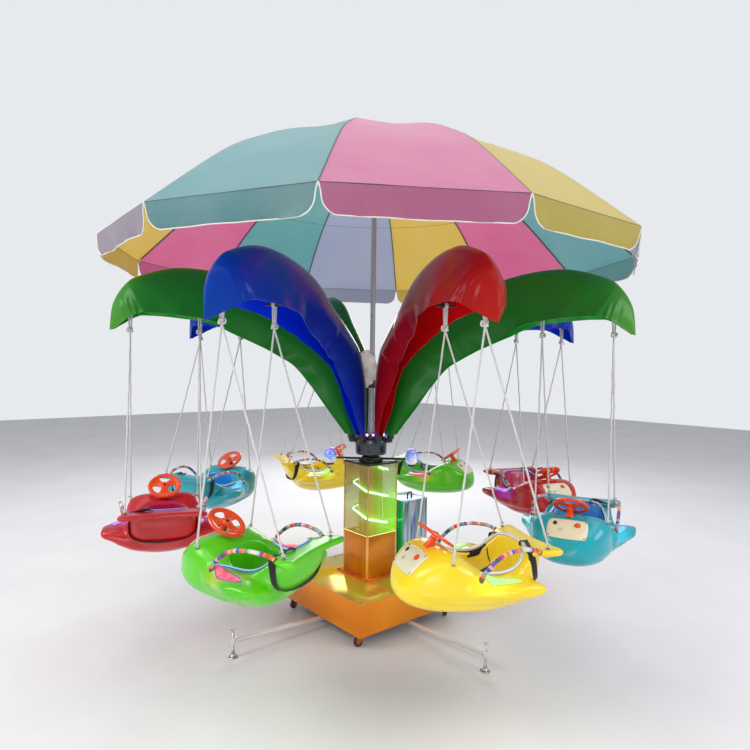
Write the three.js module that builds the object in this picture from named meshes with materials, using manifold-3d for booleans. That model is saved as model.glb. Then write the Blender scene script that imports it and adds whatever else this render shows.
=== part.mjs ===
// Chair swing ride: a turning post with eight folded-leaf arms, eight rope-hung chairs and an umbrella.
// Units are millimetres, +Z is up, the floor is z = 0 and the turning axis is the Z axis.
import * as THREE from 'three';
import { ParametricGeometry } from 'three/addons/geometries/ParametricGeometry.js';
import { mergeVertices } from 'three/addons/utils/BufferGeometryUtils.js';
import Module from 'manifold-3d';

const wasm = await Module();
wasm.setup();

const DEG = Math.PI / 180;
const GAP = 0.3; // clearance between pieces that touch in the real ride
const RUN_GAP = 0.6; // clearance of a turning or sliding fit

// base cabinet, outriggers and casters
const BASE_HALF = 363;
const BASE_BOTTOM = 68;
const BASE_TOP = 245;
const OUTRIGGER_R = 12.5;
const OUTRIGGER_Z0 = 34; // centre height of the crossing tubes at the axis
const OUTRIGGER_RISE = 0.056; // rise of the tube per unit of radius
const FOOT_RADIUS = 893;
const FOOT_DISC_R = 25;
const FOOT_STEM_R = 5;
const CASTER_OFFSET = 318; // x and y of a caster's swivel axis
const CASTER_WHEEL_R = 25;
const CASTER_TRAIL = 16;
const CASTER_LIFT = 2.5; // the wheels hang this far above the floor

// column
const COLUMN_HALF = 114;
const LOWER_TOP = 494;
const WINDOW_TOP = 905;
const WINDOW_WALL = 4;
const CORE_HALF = 76;
const PLATE_TOP = 917;
const NECK_R = 56;
const NECK_TOP = 955;
const LAMP_RADIUS = 245;
const LAMP_Z = 941;
const LAMP_HALF_WIDTH = 41;
const LAMP_HALF_HEIGHT = 52;
const LAMP_ANGLE = 47 * DEG;
const BOX_SIZE = [190, 200];
const BOX_CENTRE = [40, 250];
const BOX_TOP = 672;

// rotor
const DRUM_R = 98;
const DRUM_BOTTOM = NECK_TOP + RUN_GAP;
const DRUM_TOP = 1050;
const ARM_COUNT = 8;
const ARM_PHASE = -66.3 * DEG;
const ARM_STEP = 45 * DEG;
const ARM_R = 14;
const PIN_R = 7;
const PIN_Z = 1755;
const PIN_RADIUS = [995, 1345];
const POLE_R = 15;

// umbrella
const RIBS = 12;
const RIB_STEP = 30 * DEG;
const RIB_PHASE = -47.5 * DEG;
const CANOPY_PROFILE = [[24, 2850], [330, 2797], [654, 2692], [900, 2575], [1120, 2440], [1500, 2125]];
const CANOPY_SHEET = 3;
const VALANCE_DROP = 112;
const RIB_R = 5;

// chairs and ropes
const CHAIR_RADIUS = 1170;
const HANG_HALF = 175; // half the spacing of the inner and outer rope
const HANG_FRONT = [118, 747]; // distance ahead and height of the front rope ends
const HANG_REAR = [-305, 773];
const KNOT_Z = 1658;
const ROPE_R = 4.5;
const KNOB_R = 11;
const WHEEL_TILT = 35 * DEG;
const WHEEL_CENTRE = [112, 0, 803];
const WHEEL_R = 88;

// leaf stations: ridge radius, ridge height, lower edge radius, lower edge height, half width there and
// half width at the shoulder; towards the root the two flaps close below the shoulder
const LEAF_STATIONS = [
  [84, 1073, 184, 1080, 22, 30],
  [96, 1340, 348, 1334, 24, 50],
  [165, 1552, 468, 1475, 26, 54],
  [299, 1670, 554, 1530, 30, 54],
  [473, 1783, 650, 1583, 38, 58],
  [668, 1915, 800, 1650, 58, 64],
  [894, 1984, 935, 1712, 120, 78],
  [1110, 1998, 1112, 1738, 120, 79],
  [1296, 1947, 1272, 1745, 112, 69],
  [1373, 1893, 1330, 1730, 92, 57],
  [1430, 1790, 1380, 1694, 50, 31],
  [1445, 1655, 1428, 1660, 8, 5],
];
const LEAF_SHEET = 3.5;
const SHOULDER_DEPTH = 0.42; // where the flap turns from the ridge, as a share of the depth
const ARM_PATH = [
  [128, 1040], [146, 1330], [216, 1470], [480, 1632],
  [700, 1745], [900, 1800], [1100, 1815], [1355, 1802],
];

// chair hull stations: distance ahead of the hanger line, half width, lowest and highest height
const HULL = [
  [290, 30, 590, 618], [280, 70, 570, 648], [256, 106, 552, 682], [226, 132, 539, 710], [184, 153, 527, 740],
  [140, 168, 519, 760], [100, 177, 514, 764], [0, 187, 508, 716], [-100, 190, 506, 716],
  [-190, 184, 518, 742], [-262, 168, 562, 758], [-330, 140, 655, 762],
];
// wing stations: distance outward, rear and front edge, lowest and highest height
const WING = [[60, -240, 70, 540, 664], [150, -246, 58, 560, 670], [215, -240, 14, 596, 670], [262, -226, -66, 624, 667],
  [290, -196, -126, 640, 658]];
const TAIL_PLATE = [[-235, 120], [-262, 196], [-318, 212], [-366, 190], [-350, 90], [-350, -90], [-366, -190],
  [-318, -212], [-262, -196], [-235, -120]];
const GRIP_PATH = [[5, 212, 650], [-22, 216, 728], [-100, 211, 786], [-180, 199, 790], [-238, 186, 774], [-268, 172, 740]];
const FACE_CENTRE = [214, 0, 706];
const FACE_TILT = 49 * DEG;

const material = (color, metalness, roughness, opacity = 1) => new THREE.MeshStandardMaterial({
  color, metalness, roughness, opacity, transparent: opacity < 1,
});

const FINISH = {
  amber: material(0xd9861f, 0.55, 0.2),
  amberClear: material(0xf0a445, 0.1, 0.1, 0.45),
  glow: material(0xb8f03a, 0.2, 0.4),
  mirror: material(0xc9ccd6, 0.9, 0.12),
  steel: material(0xb9bcc0, 0.9, 0.28),
  darkSteel: material(0x4b5158, 0.7, 0.45),
  lamp: material(0x8f8fe8, 0.1, 0.15),
  pole: material(0xb4b8bd, 0.6, 0.35),
  canopy: material(0xe88fae, 0.0, 0.8),
  rope: material(0xe9e9e6, 0.0, 0.8),
  wheel: material(0xf4511e, 0.0, 0.35),
  caster: material(0xb8542a, 0.2, 0.4),
  leafGreen: material(0x1f8f2c, 0.1, 0.2),
  leafBlue: material(0x1638c9, 0.1, 0.2),
  leafRed: material(0xb3161c, 0.1, 0.2),
  shellRed: material(0xc3132a, 0.0, 0.3),
  shellGreen: material(0x4fc21a, 0.0, 0.3),
  shellYellow: material(0xf2cf1e, 0.0, 0.3),
  shellTeal: material(0x19a58c, 0.0, 0.3),
};

const group = new THREE.Group();
group.name = 'chair_swing_ride';

// closed manifold solid from a three.js geometry
function solid(geometry) {
  const bare = new THREE.BufferGeometry();
  bare.setAttribute('position', geometry.getAttribute('position').clone());
  if (geometry.index) bare.setIndex(geometry.index.clone());
  const merged = mergeVertices(bare, 1e-3);
  const index = merged.index.array;
  const triVerts = [];
  for (let i = 0; i < index.length; i += 3) {
    const [a, b, c] = [index[i], index[i + 1], index[i + 2]];
    if (a !== b && b !== c && a !== c) triVerts.push(a, b, c);
  }
  const vertProperties = new Float32Array(merged.getAttribute('position').array);
  const build = (tris) => new wasm.Manifold(new wasm.Mesh({
    numProp: 3, vertProperties, triVerts: new Uint32Array(tris),
  }));
  const first = build(triVerts);
  if (first.volume() > 0) return first;
  const flipped = [];
  for (let i = 0; i < triVerts.length; i += 3) flipped.push(triVerts[i], triVerts[i + 2], triVerts[i + 1]);
  return build(flipped);
}

const union = (...solids) => solids.slice(1).reduce((sum, next) => sum.add(next), solids[0]);

// three.js geometry from a solid
function shapeOf(body) {
  const raw = body.getMesh();
  const geometry = new THREE.BufferGeometry();
  geometry.setAttribute('position', new THREE.BufferAttribute(new Float32Array(raw.vertProperties), 3));
  geometry.setIndex(new THREE.BufferAttribute(new Uint32Array(raw.triVerts), 1));
  geometry.computeVertexNormals();
  return geometry;
}

function addPiece(parent, name, geometry, finish) {
  const mesh = new THREE.Mesh(geometry, finish);
  mesh.name = name;
  parent.add(mesh);
  return mesh;
}

// group turned about the vertical axis and set at a point
function turnedGroup(parent, angle, x = 0, y = 0) {
  const made = new THREE.Group();
  made.rotation.z = angle;
  made.position.set(x, y, 0);
  parent.add(made);
  return made;
}

const box = (sx, sy, sz, x, y, z) => solid(new THREE.BoxGeometry(sx, sy, sz).translate(x, y, z));

// upright cylinder between two heights
const post = (r, z0, z1, x = 0, y = 0, sides = 16, rTop = r) => solid(
  new THREE.CylinderGeometry(rTop, r, z1 - z0, sides).rotateX(Math.PI / 2).translate(x, y, (z0 + z1) / 2),
);

// cylinder from point a to point b
function rod(a, b, r, sides = 8) {
  const span = new THREE.Vector3(...b).sub(new THREE.Vector3(...a));
  const geometry = new THREE.CylinderGeometry(r, r, span.length(), sides);
  geometry.translate(0, span.length() / 2, 0);
  geometry.applyQuaternion(new THREE.Quaternion().setFromUnitVectors(
    new THREE.Vector3(0, 1, 0), span.normalize(),
  ));
  return solid(geometry.translate(...a));
}

// closed loft through rings of points, the ends closed to their centres
function loft(rings) {
  const count = rings[0].length;
  const centre = (ring) => ring.reduce(
    (sum, p) => [sum[0] + p[0] / count, sum[1] + p[1] / count, sum[2] + p[2] / count], [0, 0, 0],
  );
  const stacks = rings.length + 1;
  const place = (u, v, target) => {
    const row = Math.round(v * stacks);
    const column = Math.round(u * count) % count;
    if (row === 0) return target.set(...centre(rings[0]));
    if (row === stacks) return target.set(...centre(rings[rings.length - 1]));
    return target.set(...rings[row - 1][column]);
  };
  return solid(new ParametricGeometry(place, count, stacks));
}

// round bar that follows a path of radius and height pairs in the plane y = 0
function planarBar(path, r, sides) {
  return loft(path.map(([x, z], i) => {
    const [ax, az] = path[Math.max(i - 1, 0)];
    const [bx, bz] = path[Math.min(i + 1, path.length - 1)];
    const normal = new THREE.Vector2(az - bz, bx - ax).normalize();
    return Array.from({ length: sides }, (_, j) => {
      const angle = (j / sides) * Math.PI * 2;
      const lift = r * Math.cos(angle);
      return [x + normal.x * lift, r * Math.sin(angle), z + normal.y * lift];
    });
  }));
}

// round bar along a smooth path of 3-D points
function bar(points, r, segments, sides) {
  const outline = new THREE.Shape(Array.from({ length: sides }, (_, j) => {
    const angle = (j / sides) * Math.PI * 2;
    return new THREE.Vector2(r * Math.cos(angle), r * Math.sin(angle));
  }));
  return solid(new THREE.ExtrudeGeometry(outline, {
    steps: segments,
    bevelEnabled: false,
    extrudePath: new THREE.CatmullRomCurve3(points.map((p) => new THREE.Vector3(...p))),
  }));
}

// flat plate from a plan outline between two heights
function plate(outline, z0, z1) {
  const shape = new THREE.Shape(outline.map(([x, y]) => new THREE.Vector2(x, y)));
  return solid(new THREE.ExtrudeGeometry(shape, { depth: z1 - z0, bevelEnabled: false }).translate(0, 0, z0));
}

// turned body from radius and height pairs
const turned = (profile, sides) => solid(
  new THREE.LatheGeometry(profile.map(([r, z]) => new THREE.Vector2(r, z)), sides).rotateX(Math.PI / 2),
);

const spun = (body, angle) => body.rotate([0, 0, angle / DEG]);
const mirrorY = (outline) => outline.map(([x, y]) => [x, -y]).reverse();

// base cabinet
addPiece(group, 'base_cabinet', shapeOf(
  box(2 * BASE_HALF, 2 * BASE_HALF, BASE_TOP - BASE_BOTTOM, 0, 0, (BASE_TOP + BASE_BOTTOM) / 2),
), FINISH.amber);

// four outrigger tubes that meet under the cabinet, each with a sleeve for its levelling foot
const tubeZ = (r) => OUTRIGGER_Z0 + OUTRIGGER_RISE * r;
const saddleTop = BASE_BOTTOM - GAP;
const footZ = tubeZ(FOOT_RADIUS);
const outrigger = union(
  rod([0, 0, tubeZ(0)], [FOOT_RADIUS - 4, 0, tubeZ(FOOT_RADIUS - 4)], OUTRIGGER_R, 8),
  box(30, 28, 34, FOOT_RADIUS, 0, footZ),
  box(60, 46, saddleTop - 52, 240, 0, (saddleTop + 52) / 2),
).subtract(post(FOOT_STEM_R + RUN_GAP, 0, 300, FOOT_RADIUS, 0, 8));
let outriggers = box(90, 90, 26, 0, 0, OUTRIGGER_Z0);
for (let k = 0; k < 4; k += 1) outriggers = outriggers.add(spun(outrigger, k * Math.PI / 2));
addPiece(group, 'outrigger_frame', shapeOf(outriggers), FINISH.steel);

// levelling feet: pad, threaded stem and a small bar handle on top
const footShape = shapeOf(union(
  turned([[0, 0], [FOOT_DISC_R, 0], [FOOT_DISC_R, 5], [9, 14], [0, 14]], 12),
  post(FOOT_STEM_R, 10, 138, 0, 0, 8),
  post(9.5, 24, 32, 0, 0, 6),
  box(34, 8, 7, 0, 0, 140),
));
['right', 'back', 'left', 'front'].forEach((name, k) => {
  const side = turnedGroup(group, k * Math.PI / 2);
  addPiece(side, `levelling_foot_${name}`, footShape, FINISH.steel).position.x = FOOT_RADIUS;
});

// swivel casters under the cabinet corners
const wheelHub = CASTER_WHEEL_R + CASTER_LIFT;
const cheek = (y) => plate([[-24, wheelHub - 7], [-8, wheelHub - 7], [12, 56], [-23, 56]], -1.75, 1.75)
  .rotate([90, 0, 0]).translate([0, y, 0]);
const casterShape = shapeOf(union(
  solid(new THREE.CylinderGeometry(CASTER_WHEEL_R, CASTER_WHEEL_R, 20, 16).translate(-CASTER_TRAIL, 0, 0)
    .translate(0, 0, wheelHub)),
  box(44, 40, 4, 0, 0, BASE_BOTTOM - GAP - 2),
  box(26, 26, 10, 0, 0, 61),
  box(35, 33, 4, -5.5, 0, 56),
  cheek(14.5),
  cheek(-14.5),
  box(8, 37, 8, -CASTER_TRAIL, 0, wheelHub),
));
[['back_right', 45, 150], ['back_left', 135, 250], ['front_left', 225, 100], ['front_right', 315, 60]]
  .forEach(([name, corner, yaw]) => {
    const reach = CASTER_OFFSET * Math.SQRT2;
    const caster = addPiece(group, `caster_${name}`, casterShape, FINISH.caster);
    caster.position.set(reach * Math.cos(corner * DEG), reach * Math.sin(corner * DEG), 0);
    caster.rotation.z = yaw * DEG;
  });

// column: closed lower housing, clear upper housing around the lit core, top plate with the neck
const lowerBase = BASE_TOP + GAP;
addPiece(group, 'column_lower', shapeOf(union(
  box(2 * COLUMN_HALF + 56, 2 * COLUMN_HALF + 56, 6, 0, 0, lowerBase + 3),
  box(2 * COLUMN_HALF, 2 * COLUMN_HALF, LOWER_TOP - lowerBase - 3, 0, 0, (LOWER_TOP + lowerBase + 3) / 2),
)), FINISH.amber);

const windowHeight = WINDOW_TOP - LOWER_TOP - GAP;
const windowMid = (WINDOW_TOP + LOWER_TOP + GAP) / 2;
const windowInside = 2 * (COLUMN_HALF - WINDOW_WALL);
addPiece(group, 'column_window', shapeOf(
  box(2 * COLUMN_HALF, 2 * COLUMN_HALF, windowHeight, 0, 0, windowMid)
    .subtract(box(windowInside, windowInside, windowHeight + 20, 0, 0, windowMid)),
), FINISH.amberClear);
addPiece(group, 'light_core', shapeOf(
  spun(post(CORE_HALF, LOWER_TOP + GAP, WINDOW_TOP, 0, 0, 8), 22.5 * DEG),
), FINISH.glow);

const plateBase = WINDOW_TOP + GAP;
addPiece(group, 'top_plate', shapeOf(union(
  box(2 * COLUMN_HALF + 10, 2 * COLUMN_HALF + 10, PLATE_TOP - plateBase, 0, 0, (PLATE_TOP + plateBase) / 2),
  post(NECK_R, PLATE_TOP - 2, NECK_TOP, 0, 0, 12),
)), FINISH.darkSteel);

// two globe lamps on a bar with a ring around the neck
const globe = solid(new THREE.SphereGeometry(1, 10, 6).rotateX(Math.PI / 2)
  .scale(LAMP_HALF_WIDTH, LAMP_HALF_WIDTH, LAMP_HALF_HEIGHT).translate(LAMP_RADIUS, 0, LAMP_Z));
const lampRod = rod([NECK_R + 8, 0, PLATE_TOP + 12], [LAMP_RADIUS - 10, 0, LAMP_Z], 7, 6);
const lampSide = union(globe, lampRod);
const neckRing = post(NECK_R + 16, PLATE_TOP + GAP, PLATE_TOP + 22, 0, 0, 12)
  .subtract(post((NECK_R + GAP) / Math.cos(15 * DEG), PLATE_TOP - 10, PLATE_TOP + 40, 0, 0, 12));
const lampBar = addPiece(group, 'lamp_bar', shapeOf(
  union(neckRing, lampSide, spun(lampSide, Math.PI)),
), FINISH.lamp);
lampBar.rotation.z = LAMP_ANGLE;

// control box on the platform behind the column, with a cable grip on top
addPiece(group, 'control_box', shapeOf(union(
  box(BOX_SIZE[0], BOX_SIZE[1], BOX_TOP - lowerBase, BOX_CENTRE[0], BOX_CENTRE[1], (BOX_TOP + lowerBase) / 2),
  bar([[80, 235, BOX_TOP - 4], [80, 237, BOX_TOP + 32], [80, 263, BOX_TOP + 32], [80, 265, BOX_TOP - 4]], 5, 6, 6),
)), FINISH.mirror);

// leaf: a folded trough with a crisp ridge, open below and closed at the beak-like tip
function leafRing([ridgeR, ridgeZ, lowR, lowZ, half, shoulderHalf], inset) {
  const down = new THREE.Vector2(lowR - ridgeR, lowZ - ridgeZ);
  const depth = down.length();
  down.normalize();
  const slope = shoulderHalf / (depth * SHOULDER_DEPTH);
  const ridgeDrop = (inset * Math.hypot(1, slope)) / slope;
  const overrun = inset > 0 ? 26 : 0;
  const at = (along, side) => [ridgeR + down.x * along, side, ridgeZ + down.y * along];
  const shoulder = shoulderHalf - inset * 0.8;
  return [
    at(depth + overrun, half - inset),
    at(depth * SHOULDER_DEPTH + inset * 0.7, shoulder),
    at(ridgeDrop, 0),
    at(depth * SHOULDER_DEPTH + inset * 0.7, -shoulder),
    at(depth + overrun, -(half - inset)),
  ];
}
const [beakBase, beakTip] = LEAF_STATIONS.slice(-2);
const beakInner = beakBase.map((v, i) => v + 0.72 * (beakTip[i] - v));
const leafInner = [...LEAF_STATIONS.slice(0, -1), beakInner].map((station) => leafRing(station, LEAF_SHEET));
leafInner.unshift(leafInner[0].map(([x, y, z]) => [x, y, z - 12]));
const leafBody = loft(LEAF_STATIONS.map((station) => leafRing(station, 0))).subtract(loft(leafInner));
const leafShape = shapeOf(leafBody);
// sideways distance from the leaf's middle to the inner face of its flap
const flapReach = (r, z) => rod([r, 0, z], [r, 300, z], 1, 6).intersect(leafBody).boundingBox().min[1];

// rotor: slotted drum, root lugs and eight arms with their hanger pins
let arm = union(
  planarBar(ARM_PATH, ARM_R, 4),
  box(84, 30, 26, 94, 0, DRUM_TOP - 5),
);
PIN_RADIUS.forEach((r) => {
  const reach = Math.min(
    ...[[-1, 0], [-0.7, 0.7], [0, 1], [0.7, 0.7], [1, 0]].map(([u, v]) => flapReach(r + u * PIN_R, PIN_Z + v * PIN_R)),
  ) - 2 * GAP;
  arm = union(
    arm,
    box(28, 6, 66, r, 12, PIN_Z + 24),
    box(28, 6, 66, r, -12, PIN_Z + 24),
    rod([r, -reach, PIN_Z], [r, reach, PIN_Z], PIN_R, 8),
  );
});
let spider = union(
  post(DRUM_R, DRUM_BOTTOM, DRUM_TOP, 0, 0, 16),
  post(60, DRUM_TOP - 5, DRUM_TOP + 22, 0, 0, 8),
);
const drumSlot = box(30, 30, 60, DRUM_R, 0, DRUM_BOTTOM + 42);
for (let k = 0; k < ARM_COUNT; k += 1) {
  spider = spider.subtract(spun(drumSlot, (k + 0.5) * ARM_STEP)).add(spun(arm, k * ARM_STEP));
}
const rotor = turnedGroup(group, ARM_PHASE);
addPiece(rotor, 'rotor_spider', shapeOf(spider), FINISH.darkSteel);

// umbrella frame: pole and twelve ribs that follow the underside of the canopy
function canopyPoint(i, distance) {
  const [ar, az] = CANOPY_PROFILE[Math.max(i - 1, 0)];
  const [br, bz] = CANOPY_PROFILE[Math.min(i + 1, CANOPY_PROFILE.length - 1)];
  const inward = new THREE.Vector2(bz - az, ar - br).normalize();
  return [CANOPY_PROFILE[i][0] + inward.x * distance, CANOPY_PROFILE[i][1] + inward.y * distance];
}
const ribPath = CANOPY_PROFILE.map((_, i) => canopyPoint(i, CANOPY_SHEET + RIB_R + 0.6));
const ribEnd = ribPath.pop();
const ribLast = ribPath[ribPath.length - 1];
ribPath.push(ribEnd.map((v, i) => v - 0.04 * (v - ribLast[i])));
const rib = planarBar(ribPath, RIB_R, 3);
let frame = union(post(POLE_R, DRUM_TOP + 22 + GAP, 2838, 0, 0, 12), post(34, 2790, 2838, 0, 0, 12));
for (let k = 0; k < RIBS; k += 1) frame = frame.add(spun(rib, k * RIB_STEP));
const umbrella = turnedGroup(group, RIB_PHASE);
addPiece(umbrella, 'umbrella_frame', shapeOf(frame), FINISH.pole);

// canopy: twelve flat-sided gores with a hanging valance, one thin closed sheet
const [rimR, rimZ] = CANOPY_PROFILE[CANOPY_PROFILE.length - 1];
const canopyRing = [
  ...CANOPY_PROFILE,
  [rimR, rimZ - VALANCE_DROP],
  [rimR - CANOPY_SHEET, rimZ - VALANCE_DROP],
  [rimR - CANOPY_SHEET, rimZ - 1.4],
  ...CANOPY_PROFILE.map((_, i) => canopyPoint(i, CANOPY_SHEET)).slice(0, -1).reverse(),
  CANOPY_PROFILE[0],
];
let canopy = spun(turned(canopyRing, RIBS), Math.PI / 2);
const notchRing = (half, z) => [[rimR - 50, -half, z], [rimR + 30, -half, z], [rimR + 30, half, z],
  [rimR - 50, half, z]];
const notch = loft([notchRing(26, rimZ - VALANCE_DROP - 1), notchRing(4, rimZ - 44)]);
for (let k = 0; k < RIBS; k += 1) canopy = canopy.subtract(spun(notch, k * RIB_STEP));
addPiece(umbrella, 'umbrella_canopy', shapeOf(canopy), FINISH.canopy);

// chair shell in its own frame: +x ahead, +y away from the turning axis, z as in the ride
function hullRing([x, half, z0, z1]) {
  return Array.from({ length: 10 }, (_, i) => {
    const angle = (i / 10) * Math.PI * 2;
    const [c, s] = [Math.cos(angle), Math.sin(angle)];
    const power = s > 0 ? 0.6 : 0.86;
    return [
      x,
      half * Math.sign(c) * Math.abs(c) ** power,
      (z0 + z1) / 2 + ((z1 - z0) / 2) * Math.sign(s) * Math.abs(s) ** power,
    ];
  });
}
const cockpitRing = (z, x0, x1, half) => Array.from({ length: 8 }, (_, i) => {
  const angle = ((i + 0.5) / 8) * Math.PI * 2;
  return [(x0 + x1) / 2 + ((x1 - x0) / 2) * Math.cos(angle), half * Math.sin(angle), z];
});
const cockpit = loft([
  cockpitRing(556, -176, 12, 88),
  cockpitRing(640, -232, 28, 134),
  cockpitRing(900, -286, 44, 152),
]);
const sideDip = solid(new THREE.CylinderGeometry(1, 1, 520, 12).scale(150, 1, 132).translate(-98, 0, 800));
const wheelAxis = [-Math.sin(WHEEL_TILT), 0, Math.cos(WHEEL_TILT)];
const onWheelAxis = (d) => WHEEL_CENTRE.map((v, i) => v + wheelAxis[i] * d);
const facePlate = box(104, 156, 14, 0, 0, 2).rotate([0, FACE_TILT / DEG, 0]).translate(FACE_CENTRE);
const wing = loft(WING.map(([y, x0, x1, z0, z1]) => Array.from({ length: 8 }, (_, i) => {
  const angle = ((i + 0.5) / 8) * Math.PI * 2;
  return [(x0 + x1) / 2 + ((x1 - x0) / 2) * Math.cos(angle), y, (z0 + z1) / 2 + ((z1 - z0) / 2) * Math.sin(angle)];
})));
let shell = union(
  union(
    loft(HULL.map(hullRing)),
    plate(TAIL_PLATE, 0, 34).rotate([0, 4, 0]).translate([0, 0, 701]),
  ).subtract(sideDip),
  wing,
  wing.scale([1, -1, 1]),
).subtract(cockpit);
shell = union(shell, facePlate, rod(onWheelAxis(-78), onWheelAxis(-10 - RUN_GAP), 17, 6));
[1, -1].forEach((s) => {
  shell = union(
    shell,
    bar(GRIP_PATH.map(([x, y, z]) => [x, s * y, z]), 9, 5, 4),
    ...[HANG_FRONT, HANG_REAR].map(([x, z]) => box(
      24, 24, 46, x, s * (HANG_HALF - 2), z - KNOB_R - RUN_GAP - 23,
    )),
  );
});
const shellShape = shapeOf(shell);

// steering wheel with three openings, on a stub that ends over the dash boss
let steering = post(WHEEL_R, -7, 7, 0, 0, 14);
const opening = plate([[26, -18], [62, -30], [62, 30], [26, 18]], -20, 20);
for (let k = 0; k < 3; k += 1) steering = steering.subtract(spun(opening, k * 120 * DEG));
const steeringShape = shapeOf(steering.add(post(14, -10, 12, 0, 0, 6)));

// one rope set: eye over the pin, hanger, knot and two legs with knotted ends to the chair
const eyeInside = PIN_R + 0.9;
const ropeEye = rod([-ROPE_R, 0, PIN_Z], [ROPE_R, 0, PIN_Z], eyeInside + 2 * ROPE_R, 8)
  .subtract(rod([-20, 0, PIN_Z], [20, 0, PIN_Z], eyeInside, 8));
const knob = ([x, z]) => rod([x - 10, 0, z], [x + 10, 0, z], KNOB_R, 6);
const hangerTop = PIN_Z - eyeInside - ROPE_R;
const ropeShape = shapeOf(union(
  ropeEye,
  box(2 * ROPE_R, 2 * ROPE_R, hangerTop - KNOT_Z, 0, 0, (hangerTop + KNOT_Z) / 2),
  planarBar([HANG_FRONT, [0, KNOT_Z], HANG_REAR], ROPE_R, 4),
  box(20, 20, 34, 0, 0, KNOT_Z - 2),
  knob(HANG_FRONT),
  knob(HANG_REAR),
));

// each arm carries its leaf, its two rope sets and its chair with the steering wheel
const LEAF_COLOURS = ['Blue', 'Red', 'Green', 'Blue', 'Red', 'Green', 'Blue', 'Green'];
const CHAIR_COLOURS = ['Green', 'Yellow', 'Teal', 'Red', 'Green', 'Yellow', 'Teal', 'Red'];
for (let k = 0; k < ARM_COUNT; k += 1) {
  const armGroup = turnedGroup(rotor, k * ARM_STEP);
  addPiece(armGroup, `leaf_arm_${k + 1}`, leafShape, FINISH[`leaf${LEAF_COLOURS[k]}`]);
  const seat = turnedGroup(armGroup, -Math.PI / 2, CHAIR_RADIUS, 0);
  addPiece(seat, `chair_${k + 1}`, shellShape, FINISH[`shell${CHAIR_COLOURS[k]}`]);
  const wheel = addPiece(seat, `steering_wheel_${k + 1}`, steeringShape, FINISH.wheel);
  wheel.position.set(...WHEEL_CENTRE);
  wheel.rotation.y = -WHEEL_TILT;
  addPiece(seat, `rope_inner_${k + 1}`, ropeShape, FINISH.rope).position.y = -HANG_HALF;
  addPiece(seat, `rope_outer_${k + 1}`, ropeShape, FINISH.rope).position.y = HANG_HALF;
}

export default group;
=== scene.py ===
"""Chair swing ride: the finished look of every piece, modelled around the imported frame.

The ride is a mirrored post on a square cabinet. Its head turns and carries eight folded gelcoat leaves, eight
rope-hung chairs and an umbrella. Lengths are metres in the frame of the CAD, +Z is up, and the turning axis
is Z. Colours are written as six-digit display codes.
"""
from __future__ import annotations

import logging
from dataclasses import dataclass, field
from enum import Enum
from math import copysign, cos, degrees, dist, exp, floor, pi, radians, sin, sqrt, tau
from typing import Callable, Optional, Sequence, Union

import bmesh
import bpy
from mathutils import Matrix, Vector, noise
from mathutils.bvhtree import BVHTree


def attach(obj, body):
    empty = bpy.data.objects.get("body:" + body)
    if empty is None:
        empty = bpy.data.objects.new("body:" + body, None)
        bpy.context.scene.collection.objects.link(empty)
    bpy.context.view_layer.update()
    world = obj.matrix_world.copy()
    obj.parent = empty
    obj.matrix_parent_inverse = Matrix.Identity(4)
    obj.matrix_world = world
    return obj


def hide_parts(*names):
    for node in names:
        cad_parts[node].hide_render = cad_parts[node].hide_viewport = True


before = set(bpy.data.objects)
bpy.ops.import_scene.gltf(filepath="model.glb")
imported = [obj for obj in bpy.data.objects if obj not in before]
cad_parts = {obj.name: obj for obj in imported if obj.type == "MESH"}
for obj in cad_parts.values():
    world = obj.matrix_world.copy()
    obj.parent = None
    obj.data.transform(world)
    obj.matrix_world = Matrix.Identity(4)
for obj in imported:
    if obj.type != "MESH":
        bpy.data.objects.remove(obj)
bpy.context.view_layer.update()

LOG = logging.getLogger("chair_swing_ride")

Point = Sequence[float]
Outline = Sequence[tuple[float, float]]
Rows = tuple[tuple[float, ...], ...]
Piece = bpy.types.Object
Material = bpy.types.Material

ARM_COUNT = 8
ARM_STEP = tau / ARM_COUNT
ARM_PHASE = radians(-66.3)
PIN_RADII = (0.995, 1.345)
PIN_Z = 1.755
CHAIR_RADIUS = 1.17
HANG_HALF = 0.175
HANG_FRONT = (0.118, 0.747)
HANG_REAR = (-0.305, 0.773)
KNOT_Z = 1.658
CABINET_TOP = 0.245
PLATE_TOP = 0.917
NECK = 0.056
DRUM_TOP = 1.05
RIB_COUNT = 12
RIB_STEP = tau / RIB_COUNT
RIB_PHASE = radians(-47.5)
SIDES = (1, -1)


class Slot(Enum):
    """The record's material slots."""

    CABINET = "cabinet_gold"
    COLUMN = "column_amber"
    WINDOW = "window_amber"
    CORE = "core_light"
    PLATE = "plate_dark"
    LAMP = "lamp_glass"
    BOX = "box_mirror"
    TUBE = "steel_tube"
    CASTER = "caster_rubber"
    SPIDER = "spider_steel"
    LEAF_GREEN = "leaf_green"
    LEAF_BLUE = "leaf_blue"
    LEAF_RED = "leaf_red"
    POLE = "pole_grey"
    CANOPY = "canopy_fabric"
    SHELL_GREEN = "shell_green"
    SHELL_YELLOW = "shell_yellow"
    SHELL_TEAL = "shell_teal"
    SHELL_RED = "shell_red"
    ROPE = "rope_white"
    WHEEL = "wheel_orange"


def blend(a: float, b: float, share: float) -> float:
    """Value that lies a share of the way from a to b."""
    return a + (b - a) * share


def ease(low: float, high: float, value: float) -> float:
    """Smooth step from 0 at low to 1 at high."""
    share = min(1.0, max(0.0, (value - low) / (high - low)))
    return share * share * (3 - 2 * share)


def polar(radius: float, angle: float, z: float = 0.0) -> Vector:
    """Point at a radius and an angle about the turning axis."""
    return Vector((radius * cos(angle), radius * sin(angle), z))


def bulged(turn: float, wide: float, tall: float) -> tuple[float, float]:
    """Cosine and sine of a turn, each raised to a power that squares the circle off."""
    c, s = cos(turn), sin(turn)
    return copysign(abs(c) ** wide, c), copysign(abs(s) ** tall, s)


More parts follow.
